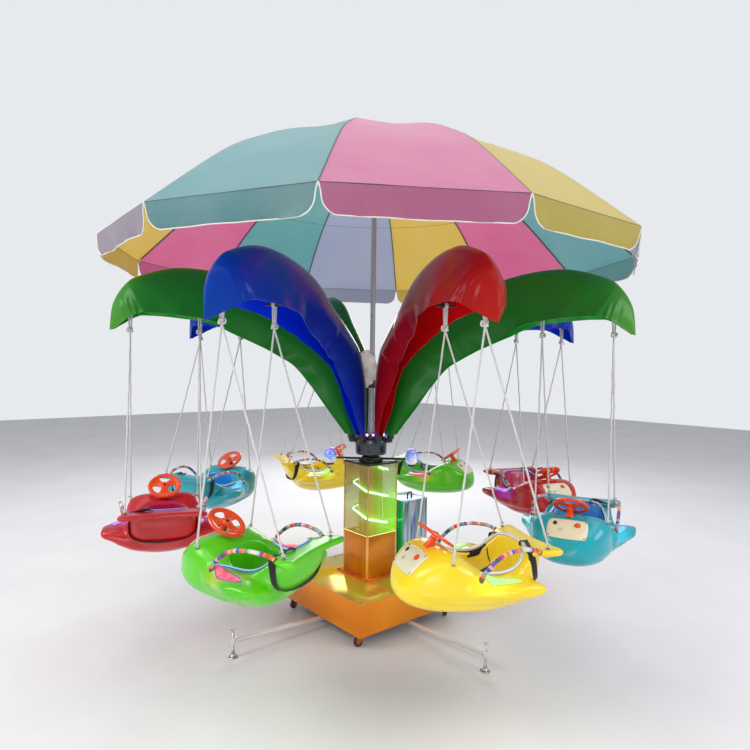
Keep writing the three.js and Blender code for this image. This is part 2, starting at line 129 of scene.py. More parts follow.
def shift(by: Point) -> Matrix:
    """Place moved by a distance."""
    return Matrix.Translation(by)


def spin(angle: float, axis: str = "Z") -> Matrix:
    """Place turned about an axis."""
    return Matrix.Rotation(angle, 4, axis)


def aim(point: Point, direction: Point = (0, 0, 1)) -> Matrix:
    """Place at a point with +Z turned to a direction."""
    return shift(point) @ Vector(direction).to_track_quat("Z", "Y").to_matrix().to_4x4()


def arm_turn(k: int) -> Matrix:
    """Turn that takes the arm plane y = 0 to arm k, counted from 0."""
    return spin(ARM_PHASE + k * ARM_STEP)


def seat_place(k: int) -> Matrix:
    """Place of chair k: x ahead, y away from the axis, z as in the ride."""
    return arm_turn(k) @ shift((CHAIR_RADIUS, 0, 0)) @ spin(-pi / 2)


QUARTERS = [spin(k * pi / 2) for k in range(4)]
ARM_TURNS = [arm_turn(k) for k in range(ARM_COUNT)]


def catmull(rows: Sequence[Point], place: float) -> list[float]:
    """Row that a smooth curve through all rows has at a place between them.

    Args:
        rows: rows of numbers, evenly spaced along the curve.
        place: position along the rows, from 0 to the last index.

    Returns:
        The interpolated row.
    """
    last = len(rows) - 1
    i = min(last - 1, max(0, int(place)))
    t = place - i
    four = rows[max(i - 1, 0)], rows[i], rows[i + 1], rows[min(i + 2, last)]
    return [0.5 * (2 * q + (r - p) * t + (2 * p - 5 * q + 4 * r - s) * t * t
            + (3 * q - p - 3 * r + s) * t ** 3) for p, q, r, s in zip(*four)]


def smooth_route(points: Sequence[Point], steps: int, closed: bool = False) -> list[Vector]:
    """Evenly spaced points on a smooth curve through the given ones.

    Args:
        points: points that the curve passes through.
        steps: number of stretches of the result.
        closed: whether the curve returns to its start, which is then repeated.

    Returns:
        The points along the curve.
    """
    rows = [list(p) for p in points]
    if closed:
        rows = [rows[-1], *rows, rows[0], rows[1]]
    first, count = (1, len(points)) if closed else (0, len(rows) - 1)
    fine = [Vector(catmull(rows, first + count * i / (20 * count))) for i in range(20 * count + 1)]
    reach = [0.0]
    for a, b in zip(fine, fine[1:]):
        reach.append(reach[-1] + (b - a).length)
    result, j = [], 0
    for i in range(steps + 1):
        want = reach[-1] * i / steps
        while j < len(fine) - 2 and reach[j + 1] < want:
            j += 1
        gap = reach[j + 1] - reach[j] or 1.0
        result.append(fine[j].lerp(fine[j + 1], (want - reach[j]) / gap))
    return result


def shut() -> None:
    """Leave edit mode."""
    bpy.ops.object.mode_set(mode="OBJECT")


def pick_out(*pieces: Piece) -> None:
    """Leave edit mode and select only the given pieces, the first of them active.

    Args:
        pieces: the pieces to select.
    """
    if bpy.context.object and bpy.context.object.mode != "OBJECT":
        shut()
    bpy.ops.object.select_all(action="DESELECT")
    for piece in pieces:
        piece.select_set(True)
    bpy.context.view_layer.objects.active = pieces[0]


def primitive(kind: str, name: str, **settings: object) -> Piece:
    """Add one of Blender's mesh primitives and set its place into its mesh.

    Args:
        kind: which primitive.
        name: the piece's name.
        settings: the primitive's values.

    Returns:
        The piece.
    """
    bpy.ops.object.select_all(action="DESELECT")
    getattr(bpy.ops.mesh, f"primitive_{kind}_add")(**settings)
    piece = bpy.context.object
    piece.name = piece.data.name = name
    bpy.ops.object.transform_apply(location=True, rotation=True, scale=True)
    return piece


def open_on(piece: Piece, test: Optional[Callable[[Vector], bool]] = None, kind: str = "FACE") -> None:
    """Open a piece in edit mode with all of it selected, or only the faces that pass a test.

    Args:
        piece: the piece to edit.
        test: takes a face's normal and says whether the face is wanted.
        kind: FACE, EDGE or VERT.
    """
    pick_out(piece)
    bpy.ops.object.mode_set(mode="EDIT")
    bpy.ops.mesh.select_mode(type=kind)
    bpy.ops.mesh.select_all(action="DESELECT" if test else "SELECT")
    if test:
        mesh = bmesh.from_edit_mesh(piece.data)
        for face in mesh.faces:
            if test(face.normal):
                face.select_set(True)
        mesh.select_flush_mode()
        bmesh.update_edit_mesh(piece.data)


def extrude(x: float, y: float, z: float) -> None:
    """Extrude what is selected in edit mode."""
    bpy.ops.mesh.extrude_region_move(TRANSFORM_OT_translate={"value": (x, y, z)})


def face_out(piece: Piece) -> Piece:
    """Turn all faces outwards and leave edit mode.

    Args:
        piece: the piece that is open.

    Returns:
        The piece.
    """
    bpy.ops.mesh.select_all(action="SELECT")
    bpy.ops.mesh.normals_make_consistent(inside=False)
    shut()
    return piece


def weld(piece: Piece, gap: float = 1e-5, capped: bool = False) -> Piece:
    """Join vertices that meet and turn all faces outwards.

    Args:
        piece: the piece.
        gap: how near vertices meet.
        capped: whether open ends are closed.

    Returns:
        The piece.
    """
    open_on(piece, kind="VERT")
    bpy.ops.mesh.remove_doubles(threshold=gap)
    if capped:
        bpy.ops.mesh.select_all(action="SELECT")
        bpy.ops.mesh.fill_holes(sides=0)
    return face_out(piece)


def modify(piece: Piece, kind: str, **settings: object) -> Piece:
    """Add a modifier and apply it.

    Args:
        piece: the piece to change.
        kind: the modifier's type.
        settings: its values.

    Returns:
        The piece.
    """
    pick_out(piece)
    modifier = piece.modifiers.new(kind.title(), kind)
    for key, value in settings.items():
        setattr(modifier, key, value)
    bpy.ops.object.modifier_apply(modifier=modifier.name)
    return piece


def soften(piece: Piece, width: float, steps: int = 2, angle: float = 30.0) -> Piece:
    """Round every edge that turns by more than an angle."""
    return modify(piece, "BEVEL", width=width, segments=steps, limit_method="ANGLE",
                  angle_limit=radians(angle), use_clamp_overlap=True)


def smooth(piece: Piece, angle: float = 35.0) -> Piece:
    """Shade a piece smooth, with edges sharper than an angle kept.

    Args:
        piece: the piece.
        angle: the angle in degrees.

    Returns:
        The piece.
    """
    pick_out(piece)
    bpy.ops.object.shade_smooth_by_angle(angle=radians(angle))
    return piece


def discard(*pieces: Piece) -> None:
    """Remove pieces that were only tools or patterns.

    Args:
        pieces: the pieces to remove.
    """
    for piece in pieces:
        mesh = piece.data
        bpy.data.objects.remove(piece)
        bpy.data.meshes.remove(mesh)


def combine(target: Piece, tool: Piece, way: str = "DIFFERENCE") -> Piece:
    """Cut, add or intersect a piece with a tool that is then removed.

    Args:
        target: the piece that changes.
        tool: the other shape.
        way: DIFFERENCE, UNION or INTERSECT.

    Returns:
        The target.
    """
    modify(target, "BOOLEAN", object=tool, operation=way, solver="EXACT")
    discard(tool)
    return target


def block(name: str, size: Point, centre: Point, soft: float = 0.0, turn: float = 0.0) -> Piece:
    """Rectangular block with rounded edges.

    Args:
        name: the piece's name.
        size: its three lengths.
        centre: its middle.
        soft: width of the rounding.
        turn: turn about the vertical, in radians.

    Returns:
        The block.
    """
    piece = primitive("cube", name, size=1, location=centre, scale=size, rotation=(0, 0, turn))
    if soft:
        open_on(piece, kind="EDGE")
        bpy.ops.mesh.bevel(offset=soft, segments=2, affect="EDGES", clamp_overlap=True)
    return smooth(piece)


def rod(name: str, start: Point, end: Point, radius: float, sides: int = 24, tip: Optional[float] = None,
        soft: float = 0.0) -> Piece:
    """Round bar between two points.

    Args:
        name: the piece's name.
        start: centre of its first end.
        end: centre of its other end.
        radius: radius at the start.
        sides: faces around it.
        tip: radius at the end, where it differs.
        soft: width of the rounding of its rims.

    Returns:
        The bar.
    """
    a, b = Vector(start), Vector(end)
    turn = (b - a).to_track_quat("Z", "Y").to_euler()
    piece = primitive("cone", name, vertices=sides, radius1=radius, radius2=radius if tip is None else tip,
                      depth=(b - a).length, location=(a + b) / 2, rotation=turn)
    return smooth(soften(piece, soft, 2, 40) if soft else piece)


def turned(name: str, profile: Outline, sides: int = 32, centre: Point = (0, 0, 0),
        angle: float = 35.0) -> Piece:
    """Body turned about the vertical from radius and height pairs.

    Args:
        name: the piece's name.
        profile: its outline, from the bottom of the axis to the top.
        sides: faces around it.
        centre: where its axis and height start.
        angle: edges sharper than this stay sharp.

    Returns:
        The body.
    """
    before = profile[0][1]
    piece = primitive("circle", name, vertices=sides, radius=profile[0][0] or 1e-4, fill_type="NGON",
                      location=(centre[0], centre[1], centre[2] + before))
    middle = Vector((centre[0], centre[1]))
    open_on(piece)
    for r, z in profile[1:]:
        extrude(0, 0, z - before)
        mesh = bmesh.from_edit_mesh(piece.data)
        for vert in mesh.verts:
            if vert.select:
                out = (vert.co.xy - middle).normalized() * max(r, 1e-4)
                vert.co.x, vert.co.y = middle.x + out.x, middle.y + out.y
        bmesh.update_edit_mesh(piece.data)
        before = z
    return smooth(face_out(piece), angle)


def prism(name: str, outline: Sequence[Vector], low: float, high: float) -> Piece:
    """Upright body with a flat outline.

    Args:
        name: the piece's name.
        outline: points round it.
        low: height of its bottom.
        high: height of its top.

    Returns:
        The body.
    """
    piece = primitive("circle", name, vertices=len(outline), radius=0.2, fill_type="NGON")
    for vert, at in zip(piece.data.vertices, outline):
        vert.co = (at.x, at.y, low)
    open_on(piece)
    extrude(0, 0, high - low)
    return face_out(piece)


def ring(name: str, major: float, minor: float, centre: Point, sides: int = 48, around: int = 12,
         axis: Point = (0, 0, 1)) -> Piece:
    """Round ring.

    Args:
        name: the piece's name.
        major: radius of the ring.
        minor: radius of its section.
        centre: its middle.
        sides: stretches of the ring.
        around: faces around the section.
        axis: direction of its axis.

    Returns:
        The ring.
    """
    turn = Vector(axis).to_track_quat("Z", "Y").to_euler()
    return smooth(primitive("torus", name, major_radius=major, minor_radius=minor, major_segments=sides,
                            minor_segments=around, location=centre, rotation=turn), 180)


def ball(name: str, radii: Point, centre: Point, sides: int = 24, rows: int = 12) -> Piece:
    """Ball or egg with three radii round a centre."""
    return smooth(primitive("uv_sphere", name, segments=sides, ring_count=rows, radius=1, location=centre,
                            scale=radii), 180)


def sheet(name: str, columns: int, rows: int, place: Callable[[float, float], Point], closed: bool = False,
          stretch: Point = (1, 1), angle: float = 180.0) -> Piece:
    """Grid drawn into shape by a rule, with its UV map kept.

    Args:
        name: the piece's name.
        columns: cells along u.
        rows: cells along v.
        place: gives the point for u and v between 0 and 1.
        closed: whether edges that meet are joined and open ends are closed.
        stretch: factors for the UV map.
        angle: edges sharper than this stay sharp.

    Returns:
        The sheet.
    """
    piece = primitive("grid", name, x_subdivisions=columns, y_subdivisions=rows, size=2, calc_uvs=True)
    for vert in piece.data.vertices:
        vert.co = Vector(place((vert.co.x + 1) / 2, (vert.co.y + 1) / 2))
    for corner in piece.data.uv_layers[0].data:
        corner.uv = (corner.uv[0] * stretch[0], corner.uv[1] * stretch[1])
    return smooth(weld(piece, capped=True) if closed else piece, angle)


def tube(name: str, route: Sequence[Point], radius: Union[float, Callable[[float], float]], sides: int = 10,
         closed: bool = False, flat: float = 1.0, up: Optional[Sequence[Vector]] = None) -> Piece:
    """Tube or strap along a route, with UV in metres along it and 0 to 1 around it.

    Args:
        name: the piece's name.
        route: points of its middle line.
        radius: its radius, or a rule that gives it for 0 to 1 along the route.
        sides: faces around it.
        closed: whether the last point meets the first.
        flat: thickness as a share of the width.
        up: direction that the flat side faces at each point, where it is set.

    Returns:
        The tube.
    """
    points = [Vector(p) for p in route]
    count = len(points) - 1
    length = sum((b - a).length for a, b in zip(points, points[1:]))
    frames, side = [], Vector((0, 0, 1))
    for i, point in enumerate(points):
        before = points[i - 1] if i else (points[-2] if closed else point)
        after = points[i + 1] if i < count else (points[1] if closed else point)
        ahead = (after - before).normalized()
        if i == 0 and abs(ahead.z) > 0.9:
            side = Vector((1, 0, 0))
        face = Vector(up[i]) if up else side
        side = (face - ahead * face.dot(ahead)).normalized()
        frames.append((point, side.copy(), ahead.cross(side)))

    def place(u: float, v: float) -> Vector:
        """Point of the tube's skin.

        Args:
            u: share of the way along it.
            v: share of the way round it.

        Returns:
            The point.
        """
        middle, across, along = frames[round(u * count)]
        r = radius(u) if callable(radius) else radius
        return middle + across * (r * flat * cos(tau * v)) + along * (r * sin(tau * v))

    return sheet(name, count, sides, place, True, (length, 1.0), 60.0)


def join(name: str, *pieces: Piece) -> Piece:
    """Join pieces into one.

    Args:
        name: name of the result.
        pieces: what is joined.

    Returns:
        The joined piece.
    """
    pick_out(*pieces)
    if len(pieces) > 1:
        bpy.ops.object.join()
    piece = bpy.context.object
    piece.name = piece.data.name = name
    return piece


def move(piece: Piece, place: Matrix) -> Piece:
    """Turn or shift a piece's mesh."""
    piece.data.transform(place)
    return piece


def copy(piece: Piece, name: str, place: Matrix) -> Piece:
    """Copy of a piece with its own mesh, set at a place.

    Args:
        piece: the pattern.
        name: name of the copy.
        place: where the copy goes.

    Returns:
        The copy.
    """
    twin = piece.copy()
    twin.data = piece.data.copy()
    twin.name = twin.data.name = name
    bpy.context.scene.collection.objects.link(twin)
    return move(twin, place)


def spread(name: str, pattern: Piece, places: Sequence[Matrix]) -> Piece:
    """One piece made of copies of a pattern, which is used up.

    Args:
        name: name of the result.
        pattern: what repeats.
        places: where each copy goes.

    Returns:
        The joined copies.
    """
    copies = [copy(pattern, f"{name}_{i}", place) for i, place in enumerate(places)]
    discard(pattern)
    return join(name, *copies)


def skin_of(piece: Piece) -> BVHTree:
    """Tree of a piece's faces, for casting rays at it."""
    return BVHTree.FromPolygons([v.co for v in piece.data.vertices],
        [p.vertices for p in piece.data.polygons])


def button_screw(radius: float) -> Piece:
    """Domed screw with a hexagon socket, standing on z = 0.

    Args:
        radius: radius of its head.

    Returns:
        The screw.
    """
    outline = ((1, -0.2), (1, 0.15), (0.86, 0.42), (0.52, 0.6))
    screw = turned("screw", [(radius * a, radius * b) for a, b in outline], 18)
    return smooth(combine(screw, rod("socket", (0, 0, radius * 0.2), (0, 0, radius), radius * 0.38, 6)), 30)


def dress(piece: Piece, *looks: Union[Material, Finish]) -> Piece:
    """Give a piece its materials in place of any it has; its faces keep their numbers.

    Args:
        piece: the piece.
        looks: materials, or finishes that are built here, one for each material number.

    Returns:
        The piece.
    """
    slots = piece.data.materials
    if len(slots) != len(looks):
        slots.clear()
        for _ in looks:
            slots.append(None)
    for i, look in enumerate(looks):
        slots[i] = look.build() if isinstance(look, Finish) else look
    return piece


def fit(piece: Piece, looks: Union[Material, Finish, tuple], body: str, slot: Slot, *nodes: str) -> None:
    """Dress a piece and hang it on its body.

    Args:
        piece: the finished piece.
        looks: its material or finish, or a row of them, one for each material number.
        body: body that it moves with.
        slot: material slot of the record; not used.
        nodes: CAD nodes that it stands for.
    """
    dress(piece, *(looks if isinstance(looks, tuple) else (looks,)))
    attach(piece, body)
    if nodes:
        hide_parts(*nodes)


def two_faced(piece: Piece, thickness: float, angle: float) -> Piece:
    """Turn a sheet's crown up and thicken it inwards, with a second material for its inside.

    Args:
        piece: the sheet.
        thickness: how thick it becomes.
        angle: edges sharper than this stay sharp, in degrees.

    Returns:
        The piece.
    """
    crown = max(piece.data.polygons, key=lambda face: face.center.z)
    if crown.normal.z < 0:
        piece.data.flip_normals()
    dress(piece, *[bpy.data.materials.new("side") for _ in range(2)])
    modify(piece, "SOLIDIFY", thickness=thickness, offset=-1.0, use_rim=True, material_offset=1)
    return smooth(piece, angle)


class Wire:
    """A value on a material's board, which can be summed and scaled like a number."""

    def __init__(self, board: Board, socket: bpy.types.NodeSocket) -> None:
        """Hold a socket of a board."""
        self.board, self.socket = board, socket

    def __add__(self, other: object) -> Wire:
        """Sum with another value."""
        return self.board.reckon("ADD", self, other)

    def __sub__(self, other: object) -> Wire:
        """Difference from another value."""
        return self.board.reckon("SUBTRACT", self, other)

    def __rsub__(self, other: object) -> Wire:
        """Another value less this one."""
        return self.board.reckon("SUBTRACT", other, self)

    def __mul__(self, other: object) -> Wire:
        """Product with another value."""
        return self.board.reckon("MULTIPLY", self, other)

    def __truediv__(self, other: object) -> Wire:
        """Quotient by another value."""
        return self.board.reckon("DIVIDE", self, other)


class Board:
    """A material's node tree, wired in short calls."""

    def __init__(self, name: str) -> None:
        """Start an empty material.

        Args:
            name: the material's name.
        """
        self.material = bpy.data.materials.new(name)
        self.material.use_nodes = True
        self.tree = self.material.node_tree
        self.tree.nodes.clear()
        self.output = self.tree.nodes.new("ShaderNodeOutputMaterial")

    @staticmethod
    def rgb(code: str) -> tuple[float, float, float]:
        """Scene-linear colour of a six-digit display code."""
        shares = [int(code[i:i + 2], 16) / 255 for i in (0, 2, 4)]
        return tuple(s / 12.92 if s <= 0.04045 else ((s + 0.055) / 1.055) ** 2.4 for s in shares)

    def add(self, kind: str, feeds: Optional[dict] = None, **settings: object) -> bpy.types.Node:
        """Add a node.

        Args:
            kind: node type without its ShaderNode prefix.
            feeds: values or wires for its inputs, by name or number.
            settings: its own properties.

        Returns:
            The node.
        """
        node = self.tree.nodes.new(f"ShaderNode{kind}")
        for key, value in settings.items():
            setattr(node, key, value)
        for key, value in (feeds or {}).items():
            socket = node.inputs[key]
            if isinstance(value, Wire):
                self.tree.links.new(value.socket, socket)
                continue
            value = self.rgb(value) if isinstance(value, str) else value
            is_colour = isinstance(value, tuple) and len(value) == 3 and len(socket.default_value) == 4
            socket.default_value = (*value, 1.0) if is_colour else value
        return node

    def out(self, kind: str, feeds: Optional[dict] = None, number: int = 0, **settings: object) -> Wire:
        """Add a node and take one of its outputs."""
        return Wire(self, self.add(kind, feeds, **settings).outputs[number])

    def place(self, source: str = "Object", scale: Point = (1, 1, 1)) -> Wire:
        """Coordinates of the surface, scaled."""
        base = Wire(self, self.add("TexCoord").outputs[source])
        return self.out("Mapping", {"Vector": base, "Scale": tuple(scale)})

    def split(self, vector: Wire) -> tuple[Wire, Wire, Wire]:
        """The three parts of a vector."""
        parts = self.add("SeparateXYZ", {0: vector})
        return Wire(self, parts.outputs[0]), Wire(self, parts.outputs[1]), Wire(self, parts.outputs[2])

    def attribute(self, name: str) -> Wire:
        """A number stored on the mesh."""
        return self.out("Attribute", number=2, attribute_name=name)

    def noise(self, scale: float, where: Wire, detail: float = 3.0, rough: float = 0.5,
            distort: float = 0.0) -> Wire:
        """Cloudy noise between 0 and 1."""
        return self.out("TexNoise", {"Vector": where, "Scale": scale, "Detail": detail, "Roughness": rough,
                                     "Distortion": distort})

    def reckon(self, way: str, a: object, b: object = 0.0) -> Wire:
        """Result of a sum on one or two numbers."""
        return self.out("Math", {0: a, 1: b}, operation=way)

    def scale(self, value: Wire, low: float, high: float, to_low: float = 0.0,
            to_high: float = 1.0) -> Wire:
        """Number carried from one range to another and kept inside it."""
        return self.out("MapRange", {"Value": value, "From Min": low, "From Max": high, "To Min": to_low,
                                     "To Max": to_high})

    def ramp(self, share: Wire, stops: Sequence[tuple[float, str]], step: bool = False) -> Wire:
        """Colour from a row of stops.

        Args:
            share: position along the row.
            stops: positions with their colours.
            step: whether each colour holds up to the next stop.

        Returns:
            The colour.
        """
        node = self.add("ValToRGB", {0: share})
        band = node.color_ramp
        band.interpolation = "CONSTANT" if step else "LINEAR"
        for element, (position, colour) in ((band.elements[0], stops[0]), (band.elements[-1], stops[-1])):
            element.position, element.color = position, (*self.rgb(colour), 1.0)
        for position, colour in stops[1:-1]:
            band.elements.new(position).color = (*self.rgb(colour), 1.0)
        return Wire(self, node.outputs[0])

    def mix(self, share: object, a: object, b: object) -> Wire:
        """Mix of two colours."""
        return self.out("Mix", {0: share, 6: a, 7: b}, 2, data_type="RGBA")

    def bump(self, height: Wire, depth: float, strength: float = 1.0, below: Optional[Wire] = None) -> Wire:
        """Normal that follows a height, in metres of depth."""
        under = {"Normal": below} if below else {}
        return self.out("Bump", {"Height": height, "Distance": depth, "Strength": strength, **under})

    def principled(self, **feeds: object) -> Wire:
        """Principled shader with inputs given by name, spaces as underscores."""
        return self.out("BsdfPrincipled", {key.replace("_", " "): value for key, value in feeds.items()})

    def close(self, shader: Wire) -> Material:
        """Wire the shader to the output and return the material."""
        self.tree.links.new(shader.socket, self.output.inputs[0])
        return self.material


@dataclass(frozen=True)
class Finish:
    """A finish by its material's name; each kind wires its own shader."""

    name: str

    def build(self) -> Material:
        """Wire the material."""
        board = Board(self.name)
        return board.close(self.shade(board))


@dataclass(frozen=True)
class GlossShell(Finish):
    """Blow-moulded glossy plastic with moulding haze, fine orange peel and small scuffs."""

    colour: str
    shade_colour: str
    inner: Optional[str]
    glow: str

    def shade(self, board: Board) -> Wire:
        """Shader whose colour changes inside the cockpit and which glows beside the lenses.

        Args:
            board: the material's board.

        Returns:
            The shader.
        """
        where = board.place()
        colour = board.mix(board.scale(board.noise(5.0, where, 2.0), 0.35, 0.7), self.colour,
            self.shade_colour)
        if self.inner:
            colour = board.mix(board.attribute("inside"), colour, self.inner)
        dust = board.noise(38.0, where, 6.0, 0.62)
        scuffs = board.noise(160.0, board.place(scale=(1, 0.14, 0.5)), 2.0)
        colour = board.mix(board.scale(dust, 0.6, 0.9, 0.0, 0.05), colour, "e8e4d8")
        rough = board.scale(dust, 0.3, 0.75, 0.26, 0.36) + board.scale(scuffs, 0.67, 0.74) * 0.08
        swell = board.bump(board.noise(9.0, where, 1.0), 0.0006, 0.4)
        normal = board.bump(board.noise(420.0, where, 1.0), 0.00002, 0.4, swell)
        return board.principled(Base_Color=colour, Roughness=rough, Normal=normal, Coat_Weight=0.35,
                                Coat_Roughness=0.12, Subsurface_Weight=0.06, Subsurface_Scale=0.02, IOR=1.48,
                                Emission_Color=self.glow, Emission_Strength=board.attribute("lit") * 0.55)


@dataclass(frozen=True)
class Gelcoat(Finish):
    """Glossy gelcoat over hand-laid fibreglass: print-through of the mat and waviness."""

    colour: str
    deep: str
    tip: str
    glow: float = 0.0

    def shade(self, board: Board) -> Wire:
        """Shader that darkens towards the root and turns to the tip's colour at the beak.

        Args:
            board: the material's board.

        Returns:
            The shader.
        """
        where = board.place()
        u, _, _ = board.split(board.place("UV"))
        colour = board.mix(board.scale(board.noise(2.6, where), 0.35, 0.68), self.colour, self.deep)
        colour = board.mix(board.scale(u, 0.72, 0.98, 0.0, 0.75), colour, self.tip)
        colour = board.mix(board.scale(u, 0.0, 0.16, 0.55, 0.0), colour, self.deep)
        strands = board.noise(230.0, board.place(scale=(1, 0.3, 1)), 3.0, 0.6)
        normal = board.bump(strands, 0.00001, 0.1, board.bump(board.noise(7.5, where, 1.5), 0.0026, 0.35))
        rough = board.scale(board.noise(70.0, where, 5.0, 0.7), 0.35, 0.8, 0.2, 0.28)
        return board.principled(Base_Color=colour, Roughness=rough, Normal=normal, Coat_Weight=0.08,
                                Coat_Roughness=0.04, IOR=1.4, Specular_IOR_Level=0.16, Emission_Color=colour,
                                Emission_Strength=self.glow)


@dataclass(frozen=True)
class Cladding(Finish):
    """Mirror-like tinted sheet whose tint drifts and whose reflections wobble."""

    tints: tuple[str, ...]
    metal: float = 0.75
    rough: float = 0.16
    drift: float = 2.2
    stretch: Point = (1, 1, 1)
    glow: float = 0.0

    def shade(self, board: Board) -> Wire:
        """Shader with drifting tints and a little grime.

        Args:
            board: the material's board.

        Returns:
            The shader.
        """
        where = board.place(scale=self.stretch)
        cloud = board.noise(self.drift, where, 2.0, 0.4, 0.4)
        last = len(self.tints) - 1
        colour = board.ramp(board.scale(cloud, 0.28, 0.72), [(i / last, tint) for i,
            tint in enumerate(self.tints)])
        grime = board.noise(20.0, where)
        colour = board.mix(board.scale(grime, 0.6, 0.95, 0.0, 0.08), colour, "b09a70")
        return board.principled(Base_Color=colour, Metallic=self.metal, Coat_Weight=0.18, Coat_Roughness=0.05,
                                Roughness=board.scale(grime, 0.3, 0.8, self.rough, self.rough + 0.08),
                                Normal=board.bump(board.noise(3.4, where, 1.0), 0.004, 0.2),
                                Specular_IOR_Level=0.3, Emission_Color=colour, Emission_Strength=self.glow)


@dataclass(frozen=True)
class Metal(Finish):
    """Bare or painted metal with brushing, smudges and a little dirt."""

    colour: str
    rough: float = 0.25
    metal: float = 1.0
    dirt: tuple[float, float, float] = (0.05, 0.045, 0.04)
    dirt_share: float = 0.25
    grain: Point = (1, 1, 1)

    def shade(self, board: Board) -> Wire:
        """Shader with smudges over a brushed ground.

        Args:
            board: the material's board.

        Returns:
            The shader.
        """
        smudge = board.noise(24.0, board.place(), 5.0, 0.6)
        brush = board.noise(420.0, board.place(scale=self.grain), 2.0)
        colour = board.mix(board.scale(smudge, 0.5, 0.85, 0.0, self.dirt_share), self.colour, self.dirt)
        return board.principled(Base_Color=colour, Metallic=self.metal, Coat_Roughness=0.15,
                                Roughness=board.scale(smudge, 0.3, 0.8, self.rough * 0.8, self.rough * 1.5),
                                Normal=board.bump(brush, 0.00005, 0.5))


@dataclass(frozen=True)
class Cloth(Finish):
    """Coated umbrella cloth: coloured gores, weave, needle creases, sewn seams; light shines through."""

    gores: tuple[str, ...]
    valance_from: float
    sheen: float = 0.45
    glow: float = 0.0
    ring_seam_at: float = 1.13

    def shade(self, board: Board) -> Wire:
        """Shader in which U counts gores and V is the distance from the top in metres.

        Args:
            board: the material's board.

        Returns:
            The shader.
        """
        u, v, _ = board.split(board.place("UV"))
        gore = (board.reckon("FLOOR", u) + 0.5) / float(RIB_COUNT)
        stops = [(i / RIB_COUNT, self.gores[i % len(self.gores)]) for i in range(RIB_COUNT)]
        # The valances are darkened a little towards dark grey: painted shade, as they hang upright.
        painted_valance_shade = board.reckon("GREATER_THAN", v, self.valance_from)
        colour = board.mix(painted_valance_shade * 0.18, board.ramp(gore, stops, True), "2a2c30")
        fade = board.noise(3.2, board.place(), 4.0, 0.55)
        colour = board.mix(board.scale(fade, 0.4, 0.8, 0.0, 0.16), colour, "e6e0da")
        share = board.reckon("FRACT", u)
        near = board.reckon("MINIMUM", share, 1.0 - share)
        rib_line = board.reckon("DIVIDE", 0.0042, board.reckon("MAXIMUM", v * 0.5, 0.02))
        seam = board.reckon("LESS_THAN", near, rib_line)
        for at, half in ((self.ring_seam_at, 0.003), (self.valance_from, 0.0025)):
            line = board.reckon("LESS_THAN", board.reckon("ABSOLUTE", v - at), half)
            seam = board.reckon("MAXIMUM", seam, line)
        colour = board.mix(seam * 0.62, colour, "3b3f45")
        weave = board.reckon("SINE", v * 5200.0) * board.reckon("SINE", u * v * 2600.0)
        crease = board.noise(1.0, board.place("UV", (2.2, 26.0, 1)), 4.0, 0.6, 0.6)
        pucker = board.noise(1.0, board.place("UV", (46.0, 5.0, 1)), 2.0)
        normal = board.bump(weave, 0.00004, 0.5)
        normal = board.bump(crease, 0.006, 0.35, normal)
        normal = board.bump(pucker * board.scale(near, 0.0, 0.16, 1.0, 0.0), 0.006, 0.5, normal)
        normal = board.bump(seam * -1.0, 0.002, 0.8, normal)
        front = board.principled(Base_Color=colour, Roughness=board.scale(fade, 0.3, 0.8, 0.48, 0.62),
                                 Normal=normal, Sheen_Weight=self.sheen, Sheen_Roughness=0.4,
                                 Emission_Color=colour, Emission_Strength=self.glow)
        through = board.out("BsdfTranslucent", {"Color": colour, "Normal": normal})
        return board.out("MixShader", {0: 0.45, 1: front, 2: through})


@dataclass(frozen=True)
class Braid(Finish):
    """Braided cord: strands crossing in a herringbone, slightly fuzzy and grubby."""

    colour: str
    # Colour of the grub, and also of the painted shade in the grooves between strands.
    dirt: str
    pitch: float = 0.012
    strands: float = 5.0

    def shade(self, board: Board) -> Wire:
        """Shader in which U runs along the cord in metres and V once around it.

        Args:
            board: the material's board.

        Returns:
            The shader.
        """
        u, v, _ = board.split(board.place("UV"))
        along, around = u / self.pitch, v * self.strands
        left = board.reckon("SINE", (along + around) * tau)
        height = board.reckon("MAXIMUM", left, board.reckon("SINE", (along - around) * tau))
        grub = board.noise(16.0, board.place(), 5.0, 0.65)
        # Darker in the grooves between strands: painted shade; the cloudy grub below is dirt.
        colour = board.mix(board.scale(height, -0.3, 0.6, 0.55, 0.0), self.colour, self.dirt)
        colour = board.mix(board.scale(grub, 0.5, 0.85, 0.0, 0.4), colour, self.dirt)
        fuzz = board.bump(board.noise(900.0, board.place(), 2.0), 0.0003, 0.5)
        return board.principled(Base_Color=colour, Roughness=0.78, Sheen_Weight=0.3, Sheen_Roughness=0.5,
                                Normal=board.bump(height, 0.0011, 0.9, fuzz))


@dataclass(frozen=True)
class Stripes(Finish):
    """Soft extruded edging with four lengthways stripes."""

    ground: str
    line: str
    start: float
    width: float

    def shade(self, board: Board) -> Wire:
        """Shader in which V goes once around the edging.

        Args:
            board: the material's board.

        Returns:
            The shader.
        """
        _, v, _ = board.split(board.place("UV"))
        cover: object = 0.0
        for quarter in range(4):
            off = board.reckon("ABSOLUTE", v - (self.start + quarter / 4))
            cover = board.reckon("MAXIMUM", board.reckon("LESS_THAN", off, self.width / 2), cover)
        wear = board.noise(60.0, board.place(), 5.0, 0.6)
        colour = board.mix(cover, self.ground, self.line)
        colour = board.mix(board.scale(wear, 0.5, 0.85, 0.0, 0.3), colour, "8f8c86")
        grain = board.noise(700.0, board.place(), 2.0)
        return board.principled(Base_Color=colour, Roughness=board.scale(wear, 0.3, 0.8, 0.3, 0.5),
                                Normal=board.bump(grain, 0.0001, 0.5), Coat_Weight=0.2, Coat_Roughness=0.3)


